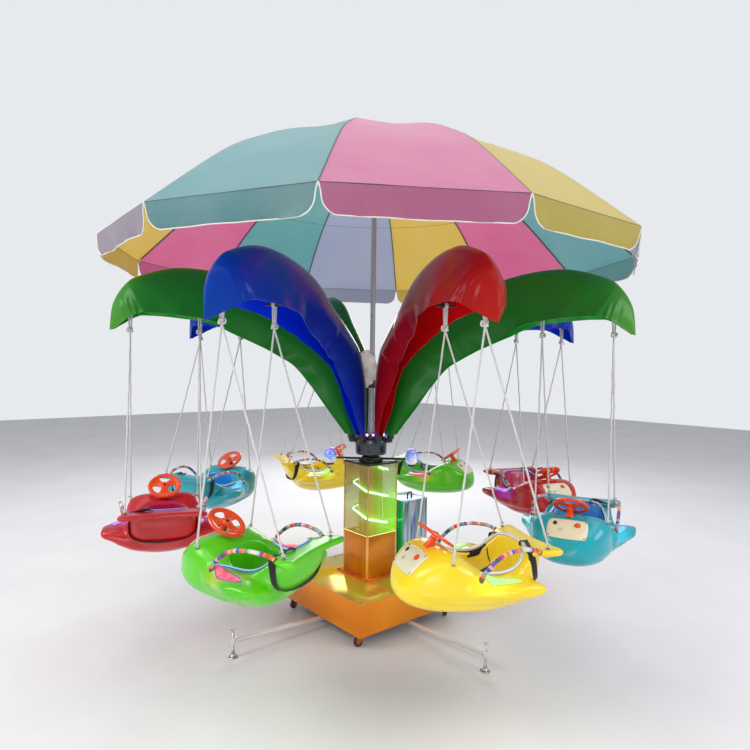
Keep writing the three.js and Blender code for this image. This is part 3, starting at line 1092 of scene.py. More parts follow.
@dataclass(frozen=True)
class BeadColours(Finish):
    """Mixed small beads, each in its own plain colour."""

    pitch: float
    tones: tuple[str, ...] = ("d8231f", "f2e9dc", "f0761c", "2a45c8", "e9c52c", "c9d0d8", "e2466a", "2fa845",
                              "8d2bb0", "f4b08a", "20242c", "38b6c6")

    def shade(self, board: Board) -> Wire:
        """Shader in which U runs along the grip in metres.

        Args:
            board: the material's board.

        Returns:
            The shader.
        """
        u, _, _ = board.split(board.place("UV"))
        number = board.reckon("FLOOR", u / self.pitch)
        key = board.out("CombineXYZ", {0: number, 1: board.attribute("string")})
        pick = board.out("TexWhiteNoise", {"Vector": key}, noise_dimensions="3D")
        colour = board.ramp(pick, [(i / len(self.tones), tone) for i, tone in enumerate(self.tones)], True)
        scratch = board.noise(300.0, board.place())
        return board.principled(Base_Color=colour, Roughness=board.scale(scratch, 0.3, 0.8, 0.15, 0.38),
                                Coat_Weight=0.5, Coat_Roughness=0.1, Normal=board.bump(scratch, 0.0001, 0.4))


@dataclass(frozen=True)
class Webbing(Finish):
    """Woven strap with ribs across it and edges a little lighter."""

    colour: str

    def shade(self, board: Board) -> Wire:
        """Shader in which U runs along the strap in metres.

        Args:
            board: the material's board.

        Returns:
            The shader.
        """
        u, v, _ = board.split(board.place("UV"))
        weave = board.reckon("SINE", u * 2400.0) * board.reckon("SINE", v * 150.0)
        fuzz = board.noise(500.0, board.place())
        colour = board.mix(board.scale(fuzz, 0.45, 0.8, 0.0, 0.3), self.colour, "4a4a4c")
        normal = board.bump(weave, 0.0004, 0.8, board.bump(fuzz, 0.0002, 0.4))
        return board.principled(Base_Color=colour, Roughness=0.82, Normal=normal, Sheen_Weight=0.4,
                                Sheen_Roughness=0.4)


@dataclass(frozen=True)
class Plain(Finish):
    """Moulded plastic or rubber with fine grain and a breath of dust."""

    colour: str
    rough: float = 0.4
    grain: float = 600.0
    depth: float = 0.0001
    coat: float = 0.0
    dust: tuple[float, float, float] = (0.42, 0.4, 0.36)
    dust_share: float = 0.18

    def shade(self, board: Board) -> Wire:
        """Shader with dust in a thin cloud.

        Args:
            board: the material's board.

        Returns:
            The shader.
        """
        where = board.place()
        cloud = board.noise(34.0, where, 5.0, 0.6)
        colour = board.mix(board.scale(cloud, 0.5, 0.85, 0.0, self.dust_share), self.colour, self.dust)
        rough = board.scale(cloud, 0.3, 0.8, self.rough * 0.85, min(1.0, self.rough * 1.35))
        normal = board.bump(board.noise(self.grain, where, 2.0), self.depth, 0.6)
        return board.principled(Base_Color=colour, Roughness=rough, Normal=normal, Coat_Weight=self.coat,
                                Coat_Roughness=0.12)


@dataclass(frozen=True)
class Glow(Finish):
    """Lamp surface that shines, brighter and darker along its length."""

    colour: str
    strength: float
    base: Union[str, tuple[float, float, float]] = (0.8, 0.9, 0.8)

    def shade(self, board: Board) -> Wire:
        """Shader that flickers between the colour and a paler one.

        Args:
            board: the material's board.

        Returns:
            The shader.
        """
        pale = tuple(0.35 + 0.65 * c for c in board.rgb(self.colour))
        flicker = board.scale(board.noise(60.0, board.place(), 2.0), 0.3, 0.75)
        return board.principled(Base_Color=self.base, Roughness=0.35, Emission_Strength=self.strength,
                                Emission_Color=board.mix(flicker, self.colour, pale))


@dataclass(frozen=True)
class StageLampGlass(Finish):
    """Faceted lamp globe: coloured bands lit from inside."""

    low: float
    high: float

    def shade(self, board: Board) -> Wire:
        """Shader with bands that wobble with the height.

        Args:
            board: the material's board.

        Returns:
            The shader.
        """
        _, _, z = board.split(board.place())
        wobble = board.noise(38.0, board.place(), 2.0, 0.5, 0.8)
        share = board.scale(z, self.low, self.high) + (wobble - 0.5) * 1.3
        colour = board.ramp(share, [(0.0, "f4f6ff"), (0.25, "e8c8e4"), (0.42, "a8dcf0"), (0.55, "5a9ce8"),
                                    (0.72, "8c8cff"), (1.0, "d4c4ff")])
        return board.principled(Base_Color=colour, Roughness=0.1, Coat_Weight=0.8, Alpha=0.86,
                                Coat_Roughness=0.05, Emission_Color=colour, Emission_Strength=0.28,
                                Normal=board.bump(wobble, 0.001, 0.3))


@dataclass
class Studio:
    """Camera, soft lights and the pale floor."""

    focal_px: float = 587.6
    picture_px: float = 750.0
    sensor_mm: float = 36.0
    distance: float = 3.53
    height: float = 1.496
    bearing: float = radians(-40.0)
    pitch: float = radians(-1.07)
    yaw: float = radians(0.29)
    roll: float = radians(0.8)
    floor_half: float = 14.0
    ride_middle: Point = (0.0, 0.0, 1.3)
    lamps: tuple[tuple, ...] = (
        ("key", (-0.9, -4.6, 3.9), 2.6, 130.0, (1.0, 0.97, 0.93)),
        ("sky", (0.3, 0.2, 6.4), 8.0, 265.0, (0.97, 0.98, 1.0)),
        ("side", (4.8, 1.6, 2.8), 2.2, 75.0, (0.97, 0.95, 1.0)),
        ("low", (2.6, -3.0, 0.55), 1.6, 22.0, (1.0, 0.99, 0.97)),
        ("back", (-3.8, 3.4, 3.0), 2.6, 90.0, (1.0, 1.0, 1.0)))

    def set_camera(self) -> None:
        """Put the camera where the photograph was taken from."""
        ahead = Vector((sin(self.yaw) * cos(self.pitch), cos(self.yaw) * cos(self.pitch), sin(self.pitch)))
        right = Vector((cos(self.yaw), -sin(self.yaw), 0))
        up = right.cross(ahead)
        right, up = right * cos(self.roll) + up * sin(self.roll), up * cos(self.roll) - right * sin(self.roll)
        turn = Matrix.Rotation(self.bearing + pi / 2, 3, "Z")
        camera = bpy.data.cameras.new("camera")
        camera.lens = self.focal_px * self.sensor_mm / self.picture_px
        camera.sensor_width = self.sensor_mm
        camera.sensor_fit = "HORIZONTAL"
        camera.clip_end = 100.0
        holder = bpy.data.objects.new("camera", camera)
        bpy.context.scene.collection.objects.link(holder)
        place = Matrix([turn @ right, turn @ up, turn @ -ahead]).transposed().to_4x4()
        place.translation = polar(self.distance, self.bearing, self.height)
        holder.matrix_world = place
        bpy.context.scene.camera = holder

    def set_light(self) -> None:
        """Square soft lights that look at the ride, with an even pale surround."""
        scene = bpy.context.scene
        scene.view_settings.view_transform = "Standard"
        scene.world = bpy.data.worlds.new("surround")
        scene.world.use_nodes = True
        tree = scene.world.node_tree
        back, seen = tree.nodes["Background"], tree.nodes.new("ShaderNodeBackground")
        back.inputs[0].default_value, back.inputs[1].default_value = (0.84, 0.87, 0.92, 1.0), 0.54
        seen.inputs[0].default_value = (0.8, 0.82, 0.85, 1.0)
        both, ray = tree.nodes.new("ShaderNodeMixShader"), tree.nodes.new("ShaderNodeLightPath")
        for source, socket in ((ray.outputs["Is Camera Ray"], both.inputs[0]),
                               (back.outputs[0], both.inputs[1]), (seen.outputs[0], both.inputs[2]),
                               (both.outputs[0], tree.nodes["World Output"].inputs[0])):
            tree.links.new(source, socket)
        for name, spot, size, power, tint in self.lamps:
            lamp = bpy.data.lights.new(name, "AREA")
            lamp.shape, lamp.size, lamp.energy, lamp.color = "SQUARE", size, power, tint
            holder = bpy.data.objects.new(name, lamp)
            holder.location = spot
            look = Vector(self.ride_middle) - Vector(spot)
            holder.rotation_euler = look.to_track_quat("-Z", "Y").to_euler()
            scene.collection.objects.link(holder)

    def build(self) -> None:
        """Set up everything that isn't part of the ride."""
        self.set_camera()
        self.set_light()
        floor = primitive("plane", "floor", size=2 * self.floor_half, location=(0, 0, 0))
        board = Board("pale_floor")
        cloud = board.noise(1.5, board.place(), 5.0, 0.6)
        colour = board.mix(board.scale(cloud, 0.35, 0.7), "e9e8e9", "e2e1e3")
        dress(floor, board.close(board.principled(Base_Color=colour, Roughness=0.6)))


@dataclass
class BaseCabinet:
    """Square cabinet: four folded side sheets, a mirrored lid and a pan below."""

    half: float = 0.363
    bottom: float = 0.068
    sheet: float = 0.004
    lid: float = 0.005
    screw: float = 0.006
    screw_spots: Point = (-0.345, 0.0, 0.345)

    def build(self) -> None:
        """Model and dress the cabinet."""
        height = CABINET_TOP - self.lid - self.bottom
        panel = block("panel", (2 * self.half - 0.0012, self.sheet, height),
                      (0, self.half - self.sheet / 2, self.bottom + height / 2), 0.0012)
        open_on(panel, lambda n: n.z < -0.9)
        extrude(0, 0, -0.0001)
        shut()
        lip = block("lip", (2 * self.half - 0.03, 0.026, 0.003), (0, self.half - 0.018,
            self.bottom + 0.0015), 0.0008)
        orange = Cladding("orange_cladding", ("ee8804", "f4960a", "e88004", "f69c10"), 0.25, 0.18, 1.2)
        sides = spread("cabinet_sides", join("side", panel, lip), QUARTERS)
        fit(sides, orange, "base", Slot.CABINET, "base_cabinet")
        gold = Cladding("gold_lid", ("e8b41e", "f0cc3a", "d2c840", "eeac50", "f2d048"), 0.45, 0.11, 2.6)
        lid = block("cabinet_lid", (2 * self.half, 2 * self.half, self.lid),
            (0, 0, CABINET_TOP - self.lid / 2), 0.0014)
        fit(lid, gold, "base", Slot.CABINET)
        wide = 2 * self.half - 0.07
        pan = block("cabinet_pan", (wide, wide, 0.012), (0, 0, self.bottom + 0.009), 0.003)
        open_on(pan, lambda n: n.z < -0.9)
        bpy.ops.mesh.inset(thickness=0.06, depth=0.0)
        bpy.ops.mesh.inset(thickness=0.006, depth=-0.004)
        shut()
        fit(pan, Metal("pan_steel", "5c5a56", 0.45), "base", Slot.TUBE)
        spots = [aim((x, y, CABINET_TOP)) for x in self.screw_spots for y in self.screw_spots if x or y]
        screws = spread("lid_screws", button_screw(self.screw), spots)
        fit(screws, Metal("lid_screw_steel", "c9a45a", 0.28), "base", Slot.CABINET)


@dataclass
class Outriggers:
    """Crossing stainless tubes under the cabinet with their levelling feet."""

    radius: float = 0.0125
    start_z: float = 0.034
    rise: float = 0.056
    reach: float = 0.893
    pad: float = 0.025
    stem: float = 0.005
    pitch: float = 0.0025
    feet: tuple[str, ...] = ("right", "back", "left", "front")

    def build_frame(self) -> Piece:
        """Tubes, end sleeves and the saddles that carry the cabinet.

        Returns:
            The frame.
        """
        z = self.start_z + self.rise * self.reach
        sleeve = rod("sleeve", (self.reach, 0, z - 0.017), (self.reach, 0, z + 0.017), 0.0142, 28,
            soft=0.0015)
        bore = rod("bore", (self.reach, 0, 0), (self.reach, 0, 0.2), self.stem + 0.0008, 16)
        arm = join("arm", rod("tube", (0.03, 0, self.start_z + self.rise * 0.03), (self.reach - 0.004, 0, z),
                              self.radius, 32),
                   smooth(combine(sleeve, bore), 30),
                   ring("weld", 0.0128, 0.0022, (self.reach - 0.0125, 0, z - 0.0004), 28, 8,
                       (1, 0, self.rise)),
                   block("saddle", (0.06, 0.046, 0.0157), (0.24, 0, 0.0598), 0.002),
                   *[block("saddle_wall", (0.056, 0.005, 0.03), (0.24, y, 0.052), 0.001)
                     for y in (-0.0165, 0.0165)])
        hub = block("outrigger_hub", (0.09, 0.09, 0.026), (0, 0, self.start_z), 0.003)
        return join("outrigger_tubes", spread("arms", arm, QUARTERS), hub)

    def build_foot(self) -> Piece:
        """Levelling foot on the axis: domed pad, threaded stem, lock nut and bar handle.

        Returns:
            The foot.
        """
        pad = turned("pad", [(self.pad - 0.002, 0), (self.pad, 0.0008), (self.pad, 0.0042),
                             (self.pad - 0.0018, 0.006), (0.018, 0.0085), (0.0128, 0.0128), (0.0105, 0.017),
                             (0.0105, 0.02), (0.0085, 0.0215), (0, 0.0215)], 40)
        thread = [(self.stem - 0.0012, 0.02)]
        height = 0.0205
        while height < 0.132:
            thread += [(self.stem, height), (self.stem - 0.0009, height + self.pitch / 2)]
            height += self.pitch
        thread += [(self.stem - 0.001, 0.135), (self.stem - 0.001, 0.1372)]
        nut = [(0.0082, 0.024), (0.0094, 0.025), (0.0094, 0.031), (0.0082, 0.032)]
        return join("foot", pad, turned("stem", thread, 14, angle=20), turned("nut", nut, 6, angle=20),
                    rod("neck", (0, 0, 0.1372), (0, 0, 0.1412), 0.0062, 20, soft=0.0008),
                    rod("handle", (-0.017, 0, 0.14), (0.017, 0, 0.14), 0.0034, 20, soft=0.0014))

    def build(self) -> None:
        """Model and dress the frame and its four feet."""
        stainless = Metal("stainless", "e2e0dc", 0.36, 0.55, (0.4, 0.39, 0.37), 0.06, (1, 1, 6))
        fit(self.build_frame(), stainless, "base", Slot.TUBE, "outrigger_frame")
        chrome = Metal("foot_chrome", "c8c6c2", 0.18, 0.9, (0.2, 0.19, 0.17), 0.16).build()
        foot = self.build_foot()
        for turn, side in zip(QUARTERS, self.feet):
            piece = copy(foot, f"foot_{side}", turn @ shift((self.reach, 0, 0)))
            fit(piece, chrome, f"foot_{side}", Slot.TUBE, f"levelling_foot_{side}")
        discard(foot)


@dataclass
class Casters:
    """Four swivel casters under the cabinet corners."""

    corner: float = 0.318
    wheel: float = 0.025
    trail: float = 0.016
    lift: float = 0.0025
    under: float = 0.0677
    cheek_y: float = 0.0148
    places: tuple[tuple[str, float, float], ...] = (
        ("back_right", 45, 150), ("back_left", 135, 250), ("front_left", 225, 100), ("front_right", 315, 60))
    half_tread: Outline = ((0.0045, -0.01), (0.0095, -0.0098), (0.0105, -0.0066), (0.0172, -0.0066),
                           (0.0184, -0.0094), (0.0226, -0.009), (0.0245, -0.006))

    def build_fork(self) -> Piece:
        """Mounting plate, ball race and fork.

        Returns:
            The fork.
        """
        hub = self.wheel + self.lift
        race = turned("race", [(0.009, 0.0545), (0.0155, 0.0552), (0.0165, 0.058), (0.015, 0.0605),
                               (0.0165, 0.0625), (0.0165, 0.0645), (0.012, 0.0655)], 32)
        parts = [block("plate", (0.044, 0.04, 0.003), (0, 0, self.under - 0.0016), 0.001), race,
                 block("crown", (0.034, 0.031, 0.003), (-0.0055, 0, 0.055), 0.001)]
        for side in SIDES:
            y = side * self.cheek_y
            cheek = block("cheek", (0.036, 0.0025, 0.0034), (-0.0055, y, 0.0545), 0.0008)
            open_on(cheek, lambda n: n.z < -0.9)
            for drop, narrow, back in ((0.012, 0.8, -0.003), (0.012, 0.78, -0.0035), (0.008, 0.8, -0.003)):
                extrude(back, 0, -drop)
                bpy.ops.transform.resize(value=(narrow, 1, 1), center_override=(-0.012 + back, y, 0.04))
            shut()
            parts.append(smooth(cheek, 30))
            parts.append(rod("axle_nut", (-self.trail, side * 0.0158, hub), (-self.trail, side * 0.0185, hub),
                             0.0048, 6, soft=0.0005))
        return join("fork", *parts)

    def build(self) -> None:
        """Model and dress the casters."""
        paint = Metal("caster_fork", "c0622a", 0.32, 0.55, (0.1, 0.05, 0.03), 0.4).build()
        rubber = Plain("caster_tread", "5a1f1c", 0.42, 500.0, 0.0002, 0.15, (0.22, 0.16, 0.13),
            0.45).build()
        tread = [*self.half_tread, (self.wheel, 0), *[(r, -z) for r, z in reversed(self.half_tread)]]
        fork = self.build_fork()
        wheel = move(turned("wheel", tread, 48), shift((-self.trail, 0, self.wheel + self.lift))
            @ spin(pi / 2, "X"))
        for name, corner, yaw in self.places:
            place = shift(polar(self.corner * sqrt(2), radians(corner))) @ spin(radians(yaw))
            body = f"caster_{name}"
            fit(copy(fork, f"fork_{name}", place), paint, body, Slot.CASTER, body)
            fit(copy(wheel, f"wheel_{name}", place), rubber, body, Slot.CASTER)
        discard(fork, wheel)


@dataclass(frozen=True)
class ClearAmber(Finish):
    """Amber-clear sheet that takes on the green of the strip inside."""

    low: float
    high: float
    half: float

    def shade(self, board: Board) -> Wire:
        """Shader that is greener below and on the right pane.

        Args:
            board: the material's board.

        Returns:
            The shader.
        """
        x, y, z = board.split(board.place())
        cloud = board.noise(4.0, board.place())
        colour = board.ramp(board.scale(z, self.low, self.high),
                            [(0.0, "b98a1e"), (0.35, "9aa321"), (0.7, "8f8a22"), (1.0, "8d6a3c")])
        colour = board.mix(board.scale(cloud, 0.4, 0.7, 0.0, 0.5), colour, "b0562a")
        smear = board.noise(30.0, board.place(), 5.0, 0.6)
        right = board.scale(x, self.half - 0.006, self.half - 0.002) * board.scale(y, -0.1, 0.06, 0.35,
            1.6)
        lit = board.scale(z, self.low, self.high, 1.0, 0.12) * (right + 0.55 + (cloud - 0.5) * 0.8)
        return board.principled(Base_Color=colour, Roughness=board.scale(smear, 0.3, 0.8, 0.03, 0.1),
                                Alpha=board.scale(smear, 0.3, 0.8, 0.34, 0.46), Coat_Weight=1.0,
                                Coat_Roughness=0.03, Metallic=0.2, Emission_Strength=lit * 0.75,
                                Emission_Color=board.mix(right, "a2a810", "4be016"),
                                Normal=board.bump(cloud, 0.004, 0.15))


@dataclass(frozen=True)
class CoreMirror(Finish):
    """Mirrored amber core lit green along the strip that winds round it."""

    start: float
    pitch: float
    front: float

    def shade(self, board: Board) -> Wire:
        """Shader whose green halo follows the winding strip.

        Args:
            board: the material's board.

        Returns:
            The shader.
        """
        x, y, z = board.split(board.place())
        angle = board.reckon("ARCTAN2", y, x)
        level = (z - self.start) / self.pitch - self.front / tau
        phase = board.reckon("FRACT", level + angle / tau + 8.5)
        near = board.reckon("ABSOLUTE", phase - 0.5)
        halo = board.reckon("POWER", board.scale(near, 0.0, 0.42, 1.0, 0.0), 2.0)
        colour = board.ramp(board.scale(board.reckon("SINE", angle * 8.0), -1.0, 1.0),
                            [(0.0, "7d6a14"), (0.5, "a8991f"), (0.8, "8a5a3a"), (1.0, "c9b23a")])
        # The emission is painted light: a green halo along the strip and a faint glow over the whole core.
        return board.principled(Base_Color=colour, Metallic=0.6, Roughness=0.18, Coat_Weight=0.5,
                                Emission_Color=board.mix(halo, "8a9a10", "7dff4a"),
                                Emission_Strength=halo * 0.9 + 0.22,
                                Normal=board.bump(board.noise(8.0, board.place()), 0.004, 0.2))


@dataclass
class Column:
    """Square post: amber lower housing, clear upper housing, lit core, top plate and neck."""

    half: float = 0.114
    base: float = 0.2453
    lower_top: float = 0.494
    window_top: float = 0.905
    wall: float = 0.004
    core: float = 0.0715
    flange: float = 0.142
    helix_pitch: float = 0.16
    helix_front: float = 0.583
    helix_turns: tuple[float, float] = (-0.44, 1.9)
    front: float = radians(-40.0)
    strip_half: float = 0.081
    leads: tuple[tuple[Point, ...], ...] = (
        ((0.098, -0.1, 0.497), (0.094, -0.096, 0.512), (0.06, -0.097, 0.52), (0.014, -0.098, 0.53),
         (-0.03, -0.097, 0.516), (-0.066, -0.092, 0.5)),
        ((0.102, -0.06, 0.497), (0.098, -0.04, 0.516), (0.096, 0.004, 0.508), (0.098, 0.046, 0.52),
         (0.094, 0.08, 0.5)),
        ((0.01, -0.098, 0.529), (0.034, -0.096, 0.548), (0.048, -0.092, 0.56), (0.056, -0.086, 0.574)))

    def build_lower(self) -> None:
        """Lower housing of four panels with corner strips, and the screwed flange."""
        low = self.base + 0.006
        height, middle = self.lower_top - low, (self.lower_top + low) / 2
        panel = block("panel", (2 * self.half - 0.01, 0.004, height), (0, self.half - 0.0026, middle),
            0.0006)
        amber = Cladding("amber_panel", ("d27a08", "bf6c04", "dc860e", "c57006"), 0.32, 0.15, 3.0)
        fit(spread("column_panels", panel, QUARTERS), amber, "base", Slot.COLUMN, "column_lower")
        at = self.half - 0.0055
        strip = block("strip", (0.011, 0.011, height), (at, at, middle), 0.0016)
        cap = block("cap", (2 * self.half - 0.004, 0.007, 0.004),
                    (0, self.half - 0.0045, self.lower_top - 0.002), 0.0008)
        bright = Cladding("bright_edge", ("e8a13a", "f0b95a", "e08f5c"), 0.3, 0.12, 5.0, glow=0.05)
        fit(spread("column_corner_strips", join("trim", strip, cap), QUARTERS), bright, "base", Slot.COLUMN)
        flange = block("column_flange", (2 * self.flange, 2 * self.flange, 0.006),
            (0, 0, self.base + 0.003), 0.0012)
        fit(flange, Cladding("flange_orange", ("e0641c", "e8802a", "d86a1e"), 0.3, 0.15, 5.0), "base",
            Slot.COLUMN)
        edge = self.flange - 0.013
        spots = [aim((x, y, low)) for x in (-edge, 0, edge) for y in (-edge, 0, edge) if x or y]
        screws = spread("flange_screws", button_screw(0.0055), spots)
        fit(screws, Metal("black_screw", "1d1a18", 0.35), "base", Slot.PLATE)

    def build_window(self) -> None:
        """Clear upper housing with rosy corner strips and bright lower edges."""
        low = self.lower_top + 0.0006
        height, middle = self.window_top - low, (self.window_top + low) / 2
        pane = block("pane", (2 * self.half - 0.007, self.wall, height),
            (0, self.half - self.wall / 2, middle), 0.0007)
        clear = ClearAmber("clear_amber", self.lower_top, self.window_top, self.half)
        fit(spread("window_panes", pane, QUARTERS), clear, "base", Slot.WINDOW, "column_window")
        at = self.half - 0.004
        strip = block("strip", (0.0075, 0.0075, height), (at, at, middle), 0.0012)
        rosy = Cladding("rosy_edge", ("d9a06a", "e58f86", "d9a04a", "f2d9a8"), 0.35, 0.1, 9.0, (1, 1, 0.6))
        fit(spread("window_corner_strips", strip, QUARTERS), rosy, "base", Slot.WINDOW)
        sill = block("sill", (2 * self.half - 0.012, 0.003, 0.003), (0, self.half + 0.0002, low + 0.003),
            0.0006)
        lit = Glow("lit_edge", "d8e86a", 0.9, (0.8, 0.8, 0.4))
        fit(spread("window_lit_edges", sill, QUARTERS), lit, "base", Slot.WINDOW)

    def build_core(self) -> None:
        """Round core with end collars, the winding light strip and its leads."""
        low, high = self.lower_top + 0.001, self.window_top - 0.0005
        outline = [(0.01, low), (0.01, low + 0.008), (0, low + 0.01), (0, high - 0.012), (0.006, high - 0.01),
                   (0.006, high)]
        core = turned("light_core_body", [(self.core + out, z) for out, z in outline], 64)
        mirror = CoreMirror("core_mirror", self.helix_front, self.helix_pitch, self.front)
        fit(core, mirror, "base", Slot.CORE, "light_core")
        route = []
        for i in range(145):
            turns = blend(*self.helix_turns, i / 144)
            angle = self.front - turns * tau
            square = (abs(cos(angle)) ** 8 + abs(sin(angle)) ** 8) ** 0.125
            route.append(polar(self.strip_half / square, angle, self.helix_front + turns
                * self.helix_pitch))
        outward = [Vector((p.x, p.y, 0)).normalized() for p in route]
        strip = tube("light_strip", route, 0.0062, 8, flat=0.42, up=outward)
        fit(strip, Glow("strip_green", "8dffb0", 5.5), "base", Slot.CORE)
        under = [p - n * 0.0016 for p, n in zip(route, outward)]
        tape = tube("light_strip_tape", under, 0.0072, 8, flat=0.12, up=outward)
        fit(tape, Plain("strip_tape", "d9e8c8", 0.4), "base", Slot.CORE)
        leads = [tube("lead", smooth_route(points, 26), 0.0024, 10) for points in self.leads]
        fit(join("core_leads", *leads), Plain("black_lead", "14130f", 0.45), "base", Slot.CORE)

    def build_plate(self) -> None:
        """Dark top plate with its neck, bearing block and small fasteners."""
        low, top = self.window_top + 0.0003, PLATE_TOP
        plate = block("top_plate_sheet", (0.238, 0.238, top - low), (0, 0, (top + low) / 2), 0.002)
        neck = turned("neck", [(0.068, top - 0.001), (0.07, top + 0.002), (0.06, top + 0.006),
                               (0.044, top + 0.009), (0.04, top + 0.02), (0.044, top + 0.028),
                               (NECK, top + 0.031), (NECK, 0.955)], 48)
        motor = block("motor_block", (0.052, 0.03, 0.016), (0.07, -0.07, top + 0.008), 0.002)
        screws = [move(button_screw(0.0045), aim((x, y, top))) for x in (-0.106, 0.106)
            for y in (-0.106, 0.106)]
        fit(join("top_plate_neck", plate, neck, motor, *screws),
            Metal("dark_plate", "343a2c", 0.4, 0.7, (0.16, 0.14, 0.09), 0.3), "base", Slot.PLATE, "top_plate")

    def build(self) -> None:
        """Model and dress the whole post."""
        self.build_lower()
        self.build_window()
        self.build_core()
        self.build_plate()


@dataclass
class StageLamps:
    """Two faceted globe lamps on a bar that clips round the neck."""

    radius: float = 0.245
    height: float = 0.941
    wide: float = 0.041
    tall: float = 0.052
    angle: float = radians(47.0)

    def build(self) -> None:
        """Model and dress the lamps."""
        wide, low = self.wide - 0.001, self.height - self.tall
        globe = ball("globe", (wide, wide, self.tall - 0.001), (self.radius, 0, self.height), 18, 12)
        for polygon in globe.data.polygons:
            polygon.use_smooth = False
        modify(globe, "BEVEL", width=0.0009, segments=1, limit_method="ANGLE", angle_limit=radians(6))
        collar = turned("collar", [(0.02, 0), (0.022, 0.003), (0.022, 0.01), (0.016, 0.014)], 28,
                        (self.radius, 0, low - 0.002))
        stalk = rod("stalk", (0.0665, 0, PLATE_TOP + 0.011), (self.radius - 0.03, 0, self.height - 0.012),
            0.0068, 20)
        outline = [(0.0575, 0.0012), (0.0712, 0.0012), (0.0716, 0.004), (0.0716, 0.018), (0.0708, 0.0205),
                   (0.0575, 0.0205)]
        clip = turned("clip", [(r, PLATE_TOP + z) for r, z in outline], 48)
        smooth(combine(clip, rod("hole", (0, 0, 0.9), (0, 0, 0.97), NECK + 0.0006, 48)), 30)
        turns = [spin(self.angle), spin(self.angle + pi)]
        glass = StageLampGlass("lamp_bands", low, self.height + self.tall)
        fit(spread("lamp_globes", globe, turns), glass, "base", Slot.LAMP, "lamp_bar")
        fittings = join("lamp_fittings", spread("arms", join("fit", collar, stalk), turns), clip)
        fit(fittings, Metal("lamp_black", "2a2c2e", 0.4, 0.4), "base", Slot.LAMP)


@dataclass
class ControlBox:
    """Mirror-clad box behind the column, with a lid, a recessed side panel and a cable grip."""

    size: tuple[float, float] = (0.19, 0.2)
    centre: tuple[float, float] = (0.04, 0.25)
    base: float = 0.2453
    top: float = 0.672
    grip_x: float = 0.08
    grip_side: Outline = ((0.233, 0.67), (0.235, 0.698), (0.24, 0.7045), (0.26, 0.7045), (0.265, 0.698),
                          (0.267, 0.67))

    def build(self) -> None:
        """Model and dress the box."""
        x, y = self.centre
        height = self.top - 0.004 - self.base
        case = block("control_case", (*self.size, height), (x, y, self.base + height / 2), 0.0025)
        open_on(case, lambda n: n.x > 0.9)
        bpy.ops.mesh.inset(thickness=0.01, depth=0.0)
        bpy.ops.mesh.inset(thickness=0.0015, depth=-0.0015)
        shut()
        tints = ("3f6f8f", "8fa3ad", "2f8f6a", "c9d3d8", "4a63a8", "9fb0a0")
        greens = ("18a050", "2fc86a", "1c7c58", "4ad890")
        looks = (Cladding("streaked_mirror", tints, 0.8, 0.12, 5.0, (9.0, 9.0, 0.25)),
                 Cladding("strip_lit_mirror", greens, 0.5, 0.12, 5.0, (9.0, 9.0, 0.25), 0.22))
        dress(case, *looks)
        for face in case.data.polygons:
            face.material_index = int(face.normal.y < -0.9)
        fit(case, tuple(case.data.materials), "base", Slot.BOX, "control_box")
        lid = block("control_lid", (self.size[0] + 0.003, self.size[1] + 0.003, 0.004),
                    (x, y, self.top - 0.002), 0.0012)
        fit(lid, Cladding("pale_lid", ("a9d6e6", "c2e0ea", "9fc9c9"), 0.35, 0.2, 4.0), "base", Slot.BOX)
        route = smooth_route([(self.grip_x, a, z) for a, z in self.grip_side], 36)
        feet = [turned("foot", [(0.008, 0), (0.008, 0.002), (0.006, 0.004)], 20, (self.grip_x, at, self.top))
                for at in (0.233, 0.267)]
        grip = join("control_grip", tube("grip", route, 0.0046, 14), *feet)
        fit(grip, Plain("grip_black", "1b1c1d", 0.5), "base", Slot.BOX)
        spots = [aim((x + sx * 0.082, y + sy * 0.087, self.top)) for sx in SIDES for sy in SIDES]
        screws = spread("control_screws", button_screw(0.004), spots)
        fit(screws, Metal("box_screw", "9a9c9e", 0.3), "base", Slot.BOX)


